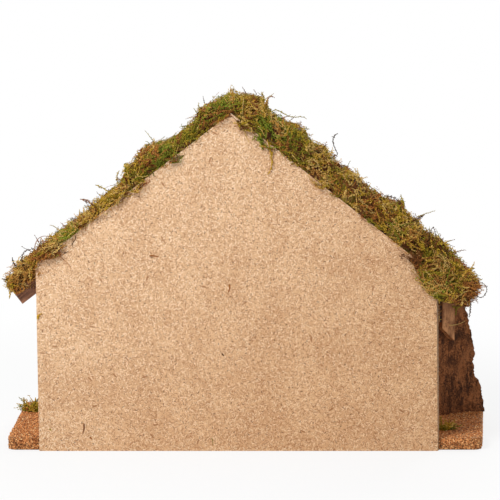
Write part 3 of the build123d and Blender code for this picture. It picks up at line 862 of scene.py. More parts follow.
moss = {
    "thick": {  # down the slope and thickness at the rear edge
        left: ((0, 14), (4, 15), (50, 13), (90, 12), (112, 8), (225, 5), (238, 3)),
        right: ((0, 14), (4, 21), (100, 22), (130, 20), (160, 22.5), (250, 22)),
    },
    "clumps": {  # down the slope, height, half width
        left: ((17, 6, 6), (78, 11, 11), (100, 11, 5), (134, 4, 6), (184, 4, 8), (217, 5, 6)),
        right: (
            (16, 8, 6), (38, 2, 5), (55, 8, 7), (84, 6, 8), (117, 6, 7),
            (142, 5, 5), (164, 9, 6), (180, 6, 4), (208, 5, 9), (221, 4, 4),
        ),
    },
    "hangers": {  # down the slope, depth over the rear face, half width, sprigs
        left: ((62, 4, 4, 16), (102, 3, 5, 14), (118, 3, 4, 10), (191, 5, 8, 34), (230, 12, 18, 110)),
        right: ((15, 5, 6, 34), (40, 4, 7, 24), (97, 3, 4, 8), (228, 15, 26, 370)),
    },
    "eave": {  # below the board's end, turned outwards, thickness
        left: ((0, 0.3, 2.5), (3, 1.2, 2), (7, 1.57, 1.2)),
        right: ((0, 0.25, 15), (1, 0.9, 9), (6, 1.5, 6.5)),
    },
    "reach": {left: -3, right: 7},  # past the board's end
    "fringe": {left: (70, 1, 5), right: (90, 4, 7)},  # sprigs, past the board's end, below it
    "frontShare": 0.84,  # of the rear thickness that is left at the front, less the drop
    "frontDrop": 6.0,
    "least": 1.2,
    "coreStep": 1.9 * mm,  # between the core's points along the roof
    "coreRows": 90,  # from rear to front
    "coreLeast": 0.9 * mm,
    "creaseDeep": 2.4 * mm,
    "trim": {"rear": 0.45, "top": 0.6, "eave": 0.6, "hem": 0.88, "proud": 0.6},  # shares drawn back
    "proudFrom": 5 * mm,  # behind the panel
    "long": {  # shortest and longest sprigs of each kind
        "face": (7.5, 13.5),
        "top": (9, 17),
        "hanging": (6, 11),
        "fringe": (3.5, 7),
        "wad": (4, 6),
        "stray": (6, 11),
    },
    "flap": (194, 251),  # the stretch of the right slope that hangs over the rear face
    "wadSprigs": 160,
    "cuts": {left: (212, 120, 30), right: (30, 128, 220)},  # down the slope, where one piece meets the next
    "rearY": panelLow.y + 1.5 * mm,
    "frontY": roofHigh.y + 2.5 * mm,
    "sprigDepth": (5.5 * mm, 4.0 * mm),  # at the rear edge and on the slope
    "rearPerMm": 4.2,
    "topPerSquareCm": {left: 6.2, right: 5.6},
    "frontPerMm": 1.3,
    "shades": (
        (0.0, rgb(30, 20, 8)),
        (0.12, rgb(64, 43, 16)),
        (0.24, rgb(114, 68, 31)),
        (0.36, rgb(172, 106, 50)),
        (0.46, rgb(206, 150, 70)),
        (0.55, rgb(228, 194, 116)),
        (0.66, rgb(206, 162, 52)),
        (0.78, rgb(166, 144, 40)),
        (0.89, rgb(130, 126, 38)),
        (1.0, rgb(136, 150, 46)),
    ),
    # painted shade and light along each sprig: darkest at the root, lighter than its colour at the tip
    "along": ((0.0, grey(0.25)), (0.35, grey(0.7)), (0.75, grey(1.05)), (1.0, grey(1.35))),
    "greenPatches": (  # x, z and size
        (24, 270, 11), (128, 187, 10), (157, 141, 9), (-15, 292, 8), (-74, 250, 8), (172, 138, 7),
        (-150, 190, 6),
    ),
    "brownPatches": (
        (2, 279, 9), (62, 245, 14), (150, 175, 14), (176, 128, 9), (-30, 262, 10), (-120, 204, 9),
    ),
    "palePatches": ((-190, 154, 22), (191, 148, 12)),
    "green": (0.71, 0.19),  # place in the shades, spread
    "brown": (0.31, 0.05),
    "deadAbove": 0.13,  # of the noise that picks brown stretches
    "strawChance": 0.05,
    "patchGains": {"greenPatches": 0.26, "brownPatches": -0.28},
    "straw": 0.57,  # place in the shades that pale patches are drawn to
    "strawShare": 0.65,
}

sprigLook = {
    "steps": 6,
    "twigs": 12,
    "stemRadius": 0.42 * mm,
    "twigRadius": 0.44 * mm,
    "twig": 0.22,
    "taper": 0.6,
    "lean": (0.75, 1.2),  # of the twigs, away from the stem
    "fan": 0.6,
    "rise": 0.6,
    "lie": 0.9,
    "curl": 1.15,
    "sway": 0.08,
    "shade": 0.08,  # at the root, 0 is darkest
    "tipShade": 0.68,
}
topLook = dict(sprigLook, steps=4, twigs=9, twigRadius=0.52 * mm, twig=0.27)
strayLook = dict(sprigLook, steps=9, twigs=14, twigRadius=0.4 * mm, twig=0.17)
strayLook.update(rise=0.5, curl=1.5, shade=0.3)
strandLook = dict(sprigLook, steps=20, twigs=0, stemRadius=0.45 * mm, shade=0.5)
fibreLook = dict(strandLook, stemRadius=0.36 * mm)
splinterLook = dict(strandLook, stemRadius=0.8 * mm)
tasselLook = dict(strandLook, twigs=44, twigRadius=0.5 * mm, twig=0.2)
featherLook = dict(strandLook, twigs=36, stemRadius=0.4 * mm, twigRadius=0.4 * mm, twig=0.13)


def sprout(stem, wild, length, tint, rng, look):  # three-sided stems along a curve, twigs at both sides
    count, steps, twigs = len(tint), look["steps"], look["twigs"]

    def frames(t):
        ahead = unit(stem(t + 0.03) - stem(t - 0.03))
        side = unit(np.cross(ahead, wild[:, None]))
        return stem(t), ahead, side, np.cross(side, ahead)

    def threeSpokes(one, two):
        angle = np.arange(3)[:, None] * math.tau / 3
        return np.cos(angle) * one[..., None, :] + np.sin(angle) * two[..., None, :]

    t = np.repeat(np.linspace(0, 1, steps + 1)[None], count, 0)
    centre, ahead, side, lift = frames(t)
    radius = look["stemRadius"] * (1 - look["taper"] * t)
    stemVerts = centre[:, :, None] + radius[..., None, None] * threeSpokes(side, lift)
    jitter = np.array((-0.004, 0.0, 0.004))  # keeps a face's corners apart in the palette map
    climb = look["shade"] + (look["tipShade"] - look["shade"]) * t[..., None]
    stemUv = np.stack(np.broadcast_arrays(tint[:, None, None] + jitter, climb), -1)

    place = np.linspace(0.08, 0.97, twigs)[None] + rng.uniform(-0.03, 0.03, (count, twigs))
    centre, ahead, side, lift = frames(place)
    fan = (np.arange(twigs) % 2)[None] * math.pi + rng.normal(0, look["fan"], (count, twigs))
    lean = rng.uniform(*look["lean"], (count, twigs))
    spread = np.cos(fan)[..., None] * side + np.sin(fan)[..., None] * lift
    away = np.cos(lean)[..., None] * ahead + np.sin(lean)[..., None] * spread
    long = look["twig"] * length[:, None] * (1.1 - 0.7 * place) * rng.uniform(0.65, 1.3, (count, twigs))
    elbow = centre + away * (0.55 * long)[..., None]
    onward = unit(0.7 * away + 0.6 * ahead + 0.25 * rng.normal(size=away.shape))
    tip = elbow + onward * (0.5 * long)[..., None]
    cross = unit(np.cross(away, rng.normal(size=away.shape)))
    spokes = threeSpokes(cross, np.cross(cross, away))
    thick = (look["twigRadius"] * rng.uniform(0.75, 1.2, (count, twigs)))[..., None, None]
    base = centre[..., None, :] + 0.7 * thick * spokes
    twigVerts = np.concatenate((base, elbow[..., None, :] + thick * spokes, tip[..., None, :]), 2)
    shift = np.concatenate((jitter, jitter, (0.001,)))
    up = np.array((0.3, 0.34, 0.38, 0.66, 0.7, 0.74, 0.97))  # foot, elbow, tip
    twigTint = tint[:, None, None] + 0.02 * rng.normal(size=(count, twigs))[..., None] + shift
    twigUv = np.stack(np.broadcast_arrays(twigTint, up), -1)

    rings = np.arange(steps)[:, None] * 3
    corner = np.arange(3)[None]
    turn = (corner + 1) % 3
    first = np.stack(np.broadcast_arrays(rings + corner, rings + turn, rings + 3 + corner), -1)
    second = np.stack(np.broadcast_arrays(rings + 3 + corner, rings + turn, rings + 3 + turn), -1)
    oneTwig = np.array((
        (0, 1, 3), (3, 1, 4), (1, 2, 4), (4, 2, 5), (2, 0, 5), (5, 0, 3), (3, 4, 6), (4, 5, 6), (5, 3, 6),
    ))
    perStem, perTwig = 3 * (steps + 1), len(up)
    twigTris = oneTwig[None] + perTwig * np.arange(twigs)[:, None, None] + perStem
    onePiece = np.concatenate((first.reshape(-1, 3), second.reshape(-1, 3), twigTris.reshape(-1, 3)))
    perPiece = perStem + perTwig * twigs
    tris = (onePiece[None] + perPiece * np.arange(count)[:, None, None]).reshape(-1, 3)
    verts = np.concatenate((stemVerts.reshape(count, -1, 3), twigVerts.reshape(count, -1, 3)), 1)
    uv = np.concatenate((stemUv.reshape(count, -1, 2), twigUv.reshape(count, -1, 2)), 1)
    return verts.reshape(-1, 3), tris, np.clip(uv.reshape(-1, 2), 0.004, 0.996)


def growSprigs(root, outward, along, length, tint, rng, look, pull=0.0):  # bent and swaying stems
    count = len(root)
    wild = rng.normal(size=(count, 3))
    first = unit(outward * look["rise"] + along * look["lie"] + 0.22 * wild)
    bend = unit(rng.normal(size=(count, 3)) + 0.6 * along) * look["curl"] + pull
    across = unit(np.cross(first, wild))
    wave = rng.uniform(0, math.tau, (count, 1))
    turns = rng.uniform(3.5, 8.0, (count, 1))

    def stem(t):
        swing = look["sway"] * (np.sin(wave + turns * t) - np.sin(wave))
        curve = first[:, None] * t[..., None] + 0.5 * bend[:, None] * t[..., None] ** 2
        return root[:, None] + length[:, None, None] * (curve + across[:, None] * swing[..., None])

    return sprout(stem, wild, length, tint, rng, look)


def humps(along, rows):  # the tallest of some rounded humps at each place
    height = np.zeros_like(along)
    for middle, tall, wide, *_ in rows:
        height = np.maximum(height, tall * mm * np.exp(-((along / mm - middle) / wide) ** 2))
    return height


def rearThick(side, along):  # of the moss at the rear edge, with its clumps
    return np.interp(along, *np.array(moss["thick"][side]).T * mm) + humps(along, moss["clumps"][side])


def hemDrop(side, along):  # how far the moss hangs below the roof's upper face, at the rear
    return 0.8 * mm + humps(along, moss["hangers"][side])


def mossPath(values):  # stations round the roof: floor x, floor z, outward angle, thickness at the rear
    halves = {}
    for side in (left, right):
        square = math.pi / 2 - side * pitch[side]
        along = np.linspace(4 * mm, slopeLength[side] - 3 * mm, 80)  # clear of the ridge and the eave
        half = list(zip(*slopePoint(side, along, 0), np.full(len(along), square), rearThick(side, along)))
        for drop, turn, thick in values["eave"][side]:
            x, z = slopePoint(side, slopeLength[side], -drop * mm)
            half.append((x, z, square - side * turn, thick * mm))
        halves[side] = half
    ridge = (peak.x, peak.z, math.pi / 2, rearThick(left, np.zeros(1))[0])
    stations = np.array(halves[left][::-1] + [ridge] + halves[right])
    out = np.stack((np.cos(stations[:, 2]), np.sin(stations[:, 2])), 1)
    crown = stations[:, :2] + 0.8 * stations[:, 3:] * out
    steps = np.maximum(np.hypot(*np.diff(crown, axis=0).T), 0.5 * mm)
    return np.concatenate(((0,), np.cumsum(steps))), stations, len(halves[left])


pathRun, pathRows, ridgeRow = mossPath(moss)


def inward(y):  # 0 at the rear edge, 1 at the front edge
    return np.clip((y - moss["rearY"]) / (moss["frontY"] - moss["rearY"]), 0, 1)


def thinned(rear, y):  # thickness falls off towards the front
    front = np.maximum(rear * moss["frontShare"] - moss["frontDrop"] * mm, moss["least"] * mm)
    return rear + (front - rear) * inward(y)


def onPath(run, y):  # floor point, outward direction and thickness at a run along the path and a depth
    x, z, angle, rear = (np.interp(run, pathRun, pathRows[:, k]) for k in range(4))
    floorPoint = np.stack((x, y, z), -1)
    out = np.stack((np.cos(angle), np.zeros_like(angle), np.sin(angle)), -1)
    lump = layeredNoise(floorPoint, (0.2, 19 * mm, 31), (0.18, 9 * mm, 32)) - 0.04
    free = 0.4 + 0.6 * np.minimum(1, 5 * inward(y))  # the rear edge keeps its outline
    return floorPoint, out, thinned(rear, y) * (1 + lump * free)


def crease(points):  # 1 in the gaps between clumps, 0 on them
    gap = np.abs(layeredNoise(points, (1, 14 * mm, 35), (0.4, 6 * mm, 36)))
    return np.clip(1 - gap / 0.16, 0, 1)


def coreThick(floorPoint, thick):  # the core stays under the sprigs, and lower in the gaps between clumps
    depth = np.interp(inward(floorPoint[..., 1]), (0.03, 0.12), moss["sprigDepth"])
    return np.maximum(thick - depth - moss["creaseDeep"] * crease(floorPoint), moss["coreLeast"])


def trimmed(verts):  # draws loose ends back towards the outline that the moss keeps
    x, y, z = verts.T
    side = np.where(x < peak.x, left, right)
    slope = np.where(side < 0, pitch[left], pitch[right])
    run, fall = side * (x - peak.x), peak.z - z
    along = run * np.cos(slope) + fall * np.sin(slope)
    lift = run * np.sin(slope) - fall * np.cos(slope)
    behind = y < panelHigh.y
    trim = moss["trim"]
    top, hem, reach = np.empty_like(x), np.empty_like(x), np.empty_like(x)
    for way in (left, right):
        here = side == way
        top[here] = thinned(rearThick(way, along[here]), y[here])
        hem[here] = hemDrop(way, along[here])
        reach[here] = slopeLength[way] + moss["reach"][way] * mm
    lift = lift - np.where(behind, trim["rear"], trim["top"]) * np.maximum(lift - top - 0.5 * mm, 0)
    along = along - trim["eave"] * np.maximum(along - reach, 0)
    x = peak.x + side * (along * np.cos(slope) + lift * np.sin(slope))
    z = peak.z - along * np.sin(slope) + lift * np.cos(slope)
    ragged = np.minimum(trim["hem"] + 0.35 * softNoise(verts, 4 * mm, 37), 1)
    z = z + np.where(behind, ragged, 0) * np.maximum(-hem - lift, 0) / np.cos(slope)
    proud = panelLow.y - moss["proudFrom"]
    y = np.where(y < proud, proud + (1 - trim["proud"]) * (y - proud), y)
    return np.stack((x, y, z), 1)


def mossTint(spots, rng):  # place in the shades: green with dead brown stretches, some straw, then patches
    count = len(spots)
    rearward = np.exp(-np.maximum(spots[:, 1] - panelLow.y, 0) / (30 * mm))

    def patch(x, z, size):
        gap = np.hypot(spots[:, 0] - x * mm, spots[:, 2] - z * mm) / (size * mm)
        return np.exp(-gap ** 2)

    tint, spread = moss["green"]
    clumps = np.tanh(2.4 * softNoise(spots, 13 * mm, 51))
    green = tint + spread * clumps + 0.09 * softNoise(spots, 5 * mm, 52)
    tint, spread = moss["brown"]
    brown = tint + spread * softNoise(spots, 4 * mm, 54)
    dead = softNoise(spots, 10 * mm, 53) + 0.28 * rng.normal(size=count)
    tint = np.where(dead > moss["deadAbove"], brown, green) + 0.05 * rng.normal(size=count)
    tint = np.where(rng.random(count) > 1 - moss["strawChance"], rng.uniform(0.5, 0.58, count), tint)
    for kind, gain in moss["patchGains"].items():
        for place in moss[kind]:
            tint = tint + gain * patch(*place) * rearward
    for place in moss["palePatches"]:
        tint = tint + moss["strawShare"] * (moss["straw"] - tint) * patch(*place) * rearward
    return np.clip(tint, 0.2, 0.985)


def coreGrid(points, rng):  # a surface from rows of points, in the shaded part of the palette
    rows, cols = points.shape[:2]
    flat = points.reshape(-1, 3)
    brown = softNoise(flat, 7 * mm, 61) + 0.4 * rng.normal(size=len(flat)) > 0.2
    tone = np.where(brown, 0.27, 0.8) + 0.04 * rng.normal(size=len(flat))
    uv = np.stack((tone, rng.uniform(0.0, 0.1, len(flat))), 1)
    return flat, gridTris(rows, cols), uv


def mossCore(start, stop, rng):  # one stretch, from the rear face over the top to the front face
    run = np.linspace(start, stop, max(8, int((stop - start) / moss["coreStep"])))
    line = np.stack((run, run * 0, run * 0), 1)
    rearY = moss["rearY"] + 1.4 * mm * softNoise(line, 6 * mm, 71)
    frontY = moss["frontY"] + 1.6 * mm * softNoise(line, 6 * mm, 72)
    lines = []
    for climb in (0.0, 0.25, 0.5, 0.75, 0.93):  # up the rear face
        floorPoint, out, thick = onPath(run, rearY)
        dent = 1.3 * mm * softNoise(floorPoint + out * 7 * mm * climb, 3 * mm, 74)
        point = floorPoint + out * (coreThick(floorPoint, thick) * climb)[:, None]
        lines.append(point + np.stack((dent * 0, dent, dent * 0), 1))
    for part in np.linspace(0.01, 0.99, moss["coreRows"]):
        floorPoint, out, thick = onPath(run, rearY + (frontY - rearY) * part)
        rough = layeredNoise(floorPoint, (1.0 * mm, 6 * mm, 73), (0.9 * mm, 2.6 * mm, 75))
        height = np.maximum(coreThick(floorPoint, thick) + rough, 0.5 * mm)
        lines.append(floorPoint + out * height[:, None])
    for climb in (0.92, 0.6, 0.3, 0.0):  # down the front face
        floorPoint, out, thick = onPath(run, frontY)
        lines.append(floorPoint + out * (coreThick(floorPoint, thick) * climb)[:, None])
    return coreGrid(np.stack(lines), rng)


def swirl(spots, size, seed):  # a smooth field, so that neighbours lie the same way
    return np.stack([softNoise(spots, size, seed + k) for k in range(3)], -1)


def nearEnds(run):  # sprigs are shorter at both eaves
    gap = np.minimum(run - pathRun[0], pathRun[-1] - run)
    return np.interp(gap, (0, 30 * mm), (0.5, 1.0))


def faceSprigs(start, stop, y, way, perMm, rng):  # sprigs on the rear or front face of one stretch
    count = int((stop - start) / mm * perMm)
    run = rng.uniform(start, stop, count)
    depth = np.full(count, y) + rng.normal(0, 0.8 * mm, count)
    floorPoint, out, thick = onPath(run, depth)
    climb = rng.uniform(0.05, 1.0, count)
    root = floorPoint + out * (coreThick(floorPoint, thick) * climb)[:, None]
    keep = rng.random(count) > 0.75 * crease(root)
    run, out, climb, root = run[keep], out[keep], climb[keep], root[keep]
    count = len(run)
    tangent = np.stack((out[:, 2], out[:, 1], -out[:, 0]), 1)
    sideways = 1.6 * softNoise(root, 13 * mm, 91) + 0.7 * rng.normal(size=count)
    upward = rng.uniform(-0.6, 0.9, count) * (0.35 + 0.65 * (1 - climb)) + 0.2 * climb
    flow = unit(tangent * sideways[:, None] + out * upward[:, None])
    outward = unit(np.array((0, way, 0)) + out * (0.9 * climb ** 2)[:, None]) * 0.5
    long = rng.uniform(*moss["long"]["face"], count) * mm * nearEnds(run)
    pull = np.array((0, -0.3 * way, 0))
    return growSprigs(root, outward, flow, long, mossTint(root, rng), rng, sprigLook, pull)


def topSprigs(start, stop, rng):  # sprigs on the top of one stretch
    depth = moss["frontY"] - moss["rearY"]
    side = left if start < pathRun[ridgeRow] else right
    count = int((stop - start) * depth * 1e4 * moss["topPerSquareCm"][side])
    run = rng.uniform(start, stop, count)
    floorPoint, out, thick = onPath(run, moss["rearY"] + depth * rng.random(count) ** 1.1)
    keep = rng.random(count) > 0.75 * crease(floorPoint)
    run, floorPoint, out, thick = run[keep], floorPoint[keep], out[keep], thick[keep]
    root = floorPoint + out * coreThick(floorPoint, thick)[:, None]
    flow = 1.5 * swirl(root, 14 * mm, 95) + 0.5 * rng.normal(size=root.shape)
    flow = unit(flow - out * np.sum(flow * out, 1)[:, None])
    shorter = np.interp(thick, (2 * mm, 12 * mm), (0.6, 1))  # where the moss is thin
    long = rng.uniform(*moss["long"]["top"], len(run)) * mm * nearEnds(run) * shorter
    outward = out * rng.uniform(0.1, 0.6, len(run))[:, None]
    return growSprigs(root, outward, flow, long, mossTint(root, rng), rng, topLook, -0.45 * out)


def hangingSprigs(side, hanger, rng):  # moss that hangs over the rear face
    middle, _, wide, count = hanger
    high = min(middle + 1.2 * wide, slopeLength[side] / mm + 2)
    along = rng.uniform(middle - 1.2 * wide, high, count) * mm
    x, z = slopePoint(side, along, -hemDrop(side, along) * rng.random(count))
    y = np.where(x < panelLow.x, roofLow.y - 0.8 * mm, panelLow.y - 1.3 * mm)
    root = np.stack((x, y + rng.uniform(-2.2, 0.8, count) * mm, z), 1)
    flow = 1.3 * swirl(root, 12 * mm, 98) * (1, 0.2, 1) + rng.normal(size=(count, 3)) * (0.5, 0.15, 0.4)
    outward = np.repeat(((0, -0.4, 0),), count, 0)
    long = rng.uniform(*moss["long"]["hanging"], count) * mm
    pull = np.array((0, 0.25, 0))
    flow = unit(flow + (0, 0, -0.15))
    return growSprigs(root, outward, flow, long, mossTint(root, rng), rng, sprigLook, pull)


def fringe(side, rng):  # short sprigs below an eave
    count, out, drop = moss["fringe"][side]
    along = slopeLength[side] + rng.uniform(0, out, count) * mm
    x, z = slopePoint(side, along, -rng.uniform(0.3, 1, count) * drop * mm)
    depth = moss["rearY"] + (moss["frontY"] - moss["rearY"]) * rng.random(count) ** 1.3
    root = np.stack((x, depth, z), 1)
    flow = unit(rng.normal(size=(count, 3)) * 0.7 + (0.2 * side, 0, -0.45))
    outward = np.repeat(((0.25 * side, 0, -0.2),), count, 0)
    long = rng.uniform(*moss["long"]["fringe"], count) * mm
    return growSprigs(root, outward, flow, long, mossTint(root, rng), rng, sprigLook)


def flapCore(rng):  # under the sprigs that hang over the rear face at the right eave
    along = np.linspace(*moss["flap"], 40) * mm
    hem = hemDrop(right, along)
    rows = []
    for share in np.linspace(0, 1, 12):
        x, z = slopePoint(right, along, 1.5 * mm - share * np.maximum(hem - 2 * mm, 0.5 * mm))
        bulge = 2.2 * math.sin(math.pi * min(1, 0.12 + 0.8 * share)) + 0.4
        point = np.stack((x, np.full(len(along), panelLow.y - bulge * mm), z), 1)
        rough = 0.9 * mm * softNoise(point, 3 * mm, 81)
        rows.append(point + np.stack((rough * 0.6, np.minimum(rough, 0.3 * mm), rough), 1))
    return coreGrid(np.stack(rows), rng)


def cornerWad(side, rng):  # moss pushed into the rear corner over the wall, under the rafter
    low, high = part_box(("left" if side < 0 else "right") + "_wall_plate")
    count = moss["wadSprigs"]
    inset = 5 * mm
    xLow, xHigh = (low.x + inset, high.x) if side < 0 else (low.x, high.x - inset)
    root = np.stack((
        rng.uniform(xLow, xHigh, count),
        rng.uniform(panelHigh.y + 2 * mm, low.y - 2 * mm, count),
        rng.uniform(low.z - 1 * mm, low.z + 18 * mm, count),
    ), 1)
    flow = unit(rng.normal(size=(count, 3)))
    long = rng.uniform(*moss["long"]["wad"], count) * mm
    return growSprigs(root, 0.4 * flow, flow, long, mossTint(root, rng), rng, sprigLook)


def strayStems(start, stop, every, rng):  # loose curling stems that stand out of the moss
    count = max(2, int((stop - start) / mm / every))
    run = rng.uniform(start, stop, count)
    floorPoint, out, thick = onPath(run, moss["rearY"] + 180 * mm * rng.random(count) ** 1.6)
    root = floorPoint + out * (coreThick(floorPoint, thick) + 1.5 * mm)[:, None]
    flow = unit(rng.normal(size=(count, 3)) * (1, 0.5, 0.6))
    tint = np.where(rng.random(count) < 0.5, rng.uniform(0.12, 0.34, count), rng.uniform(0.68, 0.9, count))
    long = rng.uniform(*moss["long"]["stray"], count) * mm * nearEnds(run)
    return growSprigs(root, out, flow, long, tint, rng, strayLook)


def runAt(side, along):  # path run at a distance down a slope
    rows = pathRows[:ridgeRow + 1] if side < 0 else pathRows[ridgeRow:]
    runs = pathRun[:ridgeRow + 1] if side < 0 else pathRun[ridgeRow:]
    gap = np.hypot(rows[:, 0] - peak.x, rows[:, 1] - peak.z)
    order = np.argsort(gap)
    return float(np.interp(along * mm, gap[order], runs[order]))


mossLook = paletteLook("dried_moss", moss["shades"], moss["along"], 0.85)
rng = np.random.default_rng(77)
stretches = (
    ("left_eave_moss", "left_eave_sprigs"),
    ("left_roof_moss", "left_roof_sprigs_low"),
    ("left_roof_moss", "left_roof_sprigs_high"),
    ("ridge_moss", "ridge_sprigs"),
    ("right_roof_moss", "right_roof_sprigs_high"),
    ("right_roof_moss", "right_roof_sprigs_low"),
    ("right_eave_moss", "right_eave_sprigs"),
)
cuts = [runAt(side, along) for side in (left, right) for along in moss["cuts"][side]]
cuts = [0.0] + cuts + [float(pathRun[-1])]
for (nodeName, pieceName), start, stop in zip(stretches, cuts, cuts[1:]):
    onRight = start > pathRun[ridgeRow]
    parts = [
        faceSprigs(start, stop, moss["rearY"], -1, moss["rearPerMm"], rng),
        faceSprigs(start, stop, moss["frontY"], 1, moss["frontPerMm"], rng),
        topSprigs(start, stop, rng),
    ]
    extras = [mossCore(start, stop, rng), strayStems(start, stop, 5 if onRight else 9, rng)]
    for side in (left, right):
        for hanger in moss["hangers"][side]:
            if start <= runAt(side, hanger[0]) < stop:
                parts.append(hangingSprigs(side, hanger, rng))
    if nodeName == "left_eave_moss":
        parts.append(fringe(left, rng))
        extras.append(cornerWad(left, rng))
    if nodeName == "right_eave_moss":
        parts.append(fringe(right, rng))
        extras.extend((flapCore(rng), cornerWad(right, rng)))
    verts, tris, uv = joined(parts)
    verts, tris, uv = joined([(trimmed(verts), tris, uv)] + extras)
    piece = meshObject(pieceName, verts, tris, uv)
    onRoot(piece, "moss", mossLook, nodeName)
    print(pieceName, len(tris), "faces")


# loose strands along listed routes: place in the shades, depth at both ends, then x and z, in mm

strands = {
    "bare": (
        (0.32, -109, -107, ((-175, 170), (-175, 178), (-168, 183), (-161, 182), (-157, 185))),
        (0.2, -109, -108, ((-174, 170), (-172, 175), (-168, 178))),
        (0.52, -109, -107, ((51, 258), (58, 254), (64, 250))),
        (0.29, -110, -107, ((38, 264), (45, 262), (49, 258), (47, 252))),
        (0.55, -106.6, -106.6, ((0, 271), (2, 265), (4, 261))),
        (0.3, -107, -106.6, ((38, 242), (41, 244), (44, 245))),
        (0.55, 13, 26, ((181, 92), (189, 92), (196, 94))),
    ),
    "feathery": (
        (0.15, -109, -107, ((-184, 154), (-187, 162), (-186, 168), (-183, 171), (-179, 171))),
        (0.14, -108, -106, ((-195, 165), (-194, 160), (-190, 156), (-185, 153))),
        (0.14, -107, -105, ((-204, 147), (-200, 146), (-194, 148), (-188, 147))),
        (0.7, -105, -106, ((-195, 141), (-197, 136), (-198, 130))),
        (0.75, -108, -107, ((-125, 226), (-120, 224), (-113, 219), (-109, 212))),
        (0.3, -108, -107, ((-138, 214), (-133, 213), (-127, 209), (-124, 203))),
        (0.72, -108, -104, ((-105, 238), (-107, 233), (-106, 226), (-102, 220))),
        (0.8, -108, -106, ((22, 287), (29, 288), (36, 284), (45, 283), (52, 281))),
        (0.3, -104, -106, ((15, 290), (19, 297), (22, 300), (25, 299))),
        (0.12, -108, -106, ((78, 269), (75, 267), (74, 261), (77, 254), (76, 248))),
        (0.14, -108, -106, ((117, 217), (123, 216), (129, 212), (131, 206), (130, 200))),
        (0.78, -108, -106, ((131, 218), (132, 213), (134, 207), (134, 200))),
        (0.16, -108, -106, ((151, 201), (148, 199), (142, 196), (137, 191))),
        (0.15, -108, -106, ((154, 176), (156, 186), (158, 190), (160, 186), (161, 176))),
        (0.66, -108, -106, ((183, 148), (188, 154), (192, 158), (193, 161))),
        (0.15, -107, -102, (
            (188, 139), (195, 133), (200, 131), (203, 134), (204, 138), (200, 143), (192, 146),
        )),
        (0.14, -107, -107, ((186, 133), (189, 127), (190, 121), (189, 114))),
        (0.9, 18, 19, ((190, 114), (188, 107), (187, 100))),
        (0.84, 18, 20, ((184, 109), (188, 107), (193, 110))),
        (0.68, -106.6, -106.6, ((-174, 112), (-174, 115), (-171, 117))),
    ),
    "tassels": (
        (0.95, -107.5, -107, ((12, 270), (14, 262), (15, 256))),
        (0.68, -107.5, -107, ((19, 264), (22, 253), (23, 245), (22, 239), (19, 235))),
    ),
    "fibres": (
        (0.14, -106.4, -106.4, ((-142, 183), (-143, 179), (-145, 176), (-144, 173))),
        (0.14, -106.4, -106.4, ((-152, 168), (-150, 169), (-148, 170))),
        (0.38, -106.4, -106.4, ((-159, 170), (-156, 166), (-150, 161), (-147, 157), (-146, 153))),
        (0.85, -106.4, -106.4, ((-28, 11), (-27, 8), (-27, 5))),
    ),
    "splinters": (
        (0.34, -106.3, -106.3, ((-80, 166), (-76, 166), (-72, 165))),
        (0.26, -106.3, -106.3, ((-136, 23), (-136, 19), (-137, 15))),
        (0.37, -106.3, -106.3, ((-13, 142), (-13, 138), (-14, 135))),
        (0.37, -106.3, -106.3, ((-131, 12), (-130, 11), (-129, 10))),
        (0.2, -106.3, -106.3, ((-19, 83), (-18, 82), (-18, 81))),
        (0.8, -106.3, -106.3, ((-165, 19), (-164, 18), (-164, 17))),
    ),
}


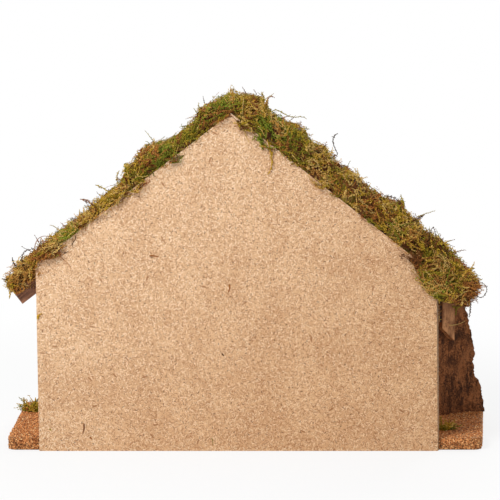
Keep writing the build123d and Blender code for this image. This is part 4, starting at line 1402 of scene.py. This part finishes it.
def routed(routes):  # one smooth curve through the points of each route
    fits = []
    for tint, firstY, lastY, points in routes:
        spots = np.array([(x, 0, z) for x, z in points]) * mm
        spots[:, 1] = np.linspace(firstY, lastY, len(spots)) * mm
        steps = np.concatenate(((0,), np.cumsum(np.linalg.norm(np.diff(spots, axis=0), axis=1))))
        fit = np.polyfit(steps / steps[-1], spots, len(spots) - 1)
        fits.append(np.concatenate((np.zeros((7 - len(fit), 3)), fit)))
    fits = np.array(fits)

    def stem(t):
        powers = t[..., None] ** np.arange(6, -1, -1)
        return powers @ fits

    return stem


def strandMesh(routes, look, rng):
    count = len(routes)
    tint = np.array([route[0] for route in routes])
    return sprout(routed(routes), rng.normal(size=(count, 3)), np.full(count, 16 * mm), tint, rng, look)


strandLooks = {
    "bare": strandLook,
    "feathery": featherLook,
    "tassels": tasselLook,
    "fibres": fibreLook,
    "splinters": splinterLook,
}
verts, tris, uv = joined([strandMesh(strands[kind], look, rng) for kind, look in strandLooks.items()])
onRoot(meshObject("loose_strands", verts, tris, uv), "moss", mossLook)
print("loose strands laid:", sum(len(routes) for routes in strands.values()))


# tufts on the ground

tufts = {
    "left_ground_moss": {"sprigs": 80, "tint": 0.72},
    "right_ground_moss": {"sprigs": 50, "tint": 0.74},
}
tuftLook = dict(sprigLook, twigs=16, twig=0.3, curl=1.5)
for nodeName, values in tufts.items():
    low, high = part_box(nodeName)
    middle, radius, height = (low + high) / 2, (high.x - low.x) / 2, high.z - low.z
    count = values["sprigs"]
    turn = rng.uniform(0, math.tau, count)
    out = np.sqrt(rng.random(count)) * radius * 0.6
    footX, footY = middle.x + out * np.cos(turn), middle.y + out * np.sin(turn)
    foot = np.stack((footX, footY, np.full(count, low.z)), 1)
    lean = np.stack((np.cos(turn), np.sin(turn), np.full(count, 0.2)), 1)
    long = height * rng.uniform(0.45, 0.9, count) * (1.1 - 0.6 * out / radius)
    tint = np.clip(values["tint"] + 0.12 * rng.normal(size=count), 0.25, 0.97)
    upright = np.repeat(((0, 0, 1.0),), count, 0)
    droop = np.array((0, 0, -0.7))
    clump = growSprigs(foot, upright, unit(lean) * 0.6, long, tint, rng, tuftLook, droop)
    heart = np.array([(middle.x, middle.y, low.z)])
    heap = granules(heart, np.array([radius * 0.7]), np.array([0.14]), rng)
    verts, tris, uv = joined([clump, heap])
    onRoot(meshObject(nodeName + "_sprigs", verts, tris, uv), "moss", mossLook, nodeName)
print("ground tufts grown")

sizes = {"cad": [list(corner) for corner in cadBox], "visual": [list(corner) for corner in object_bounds()]}
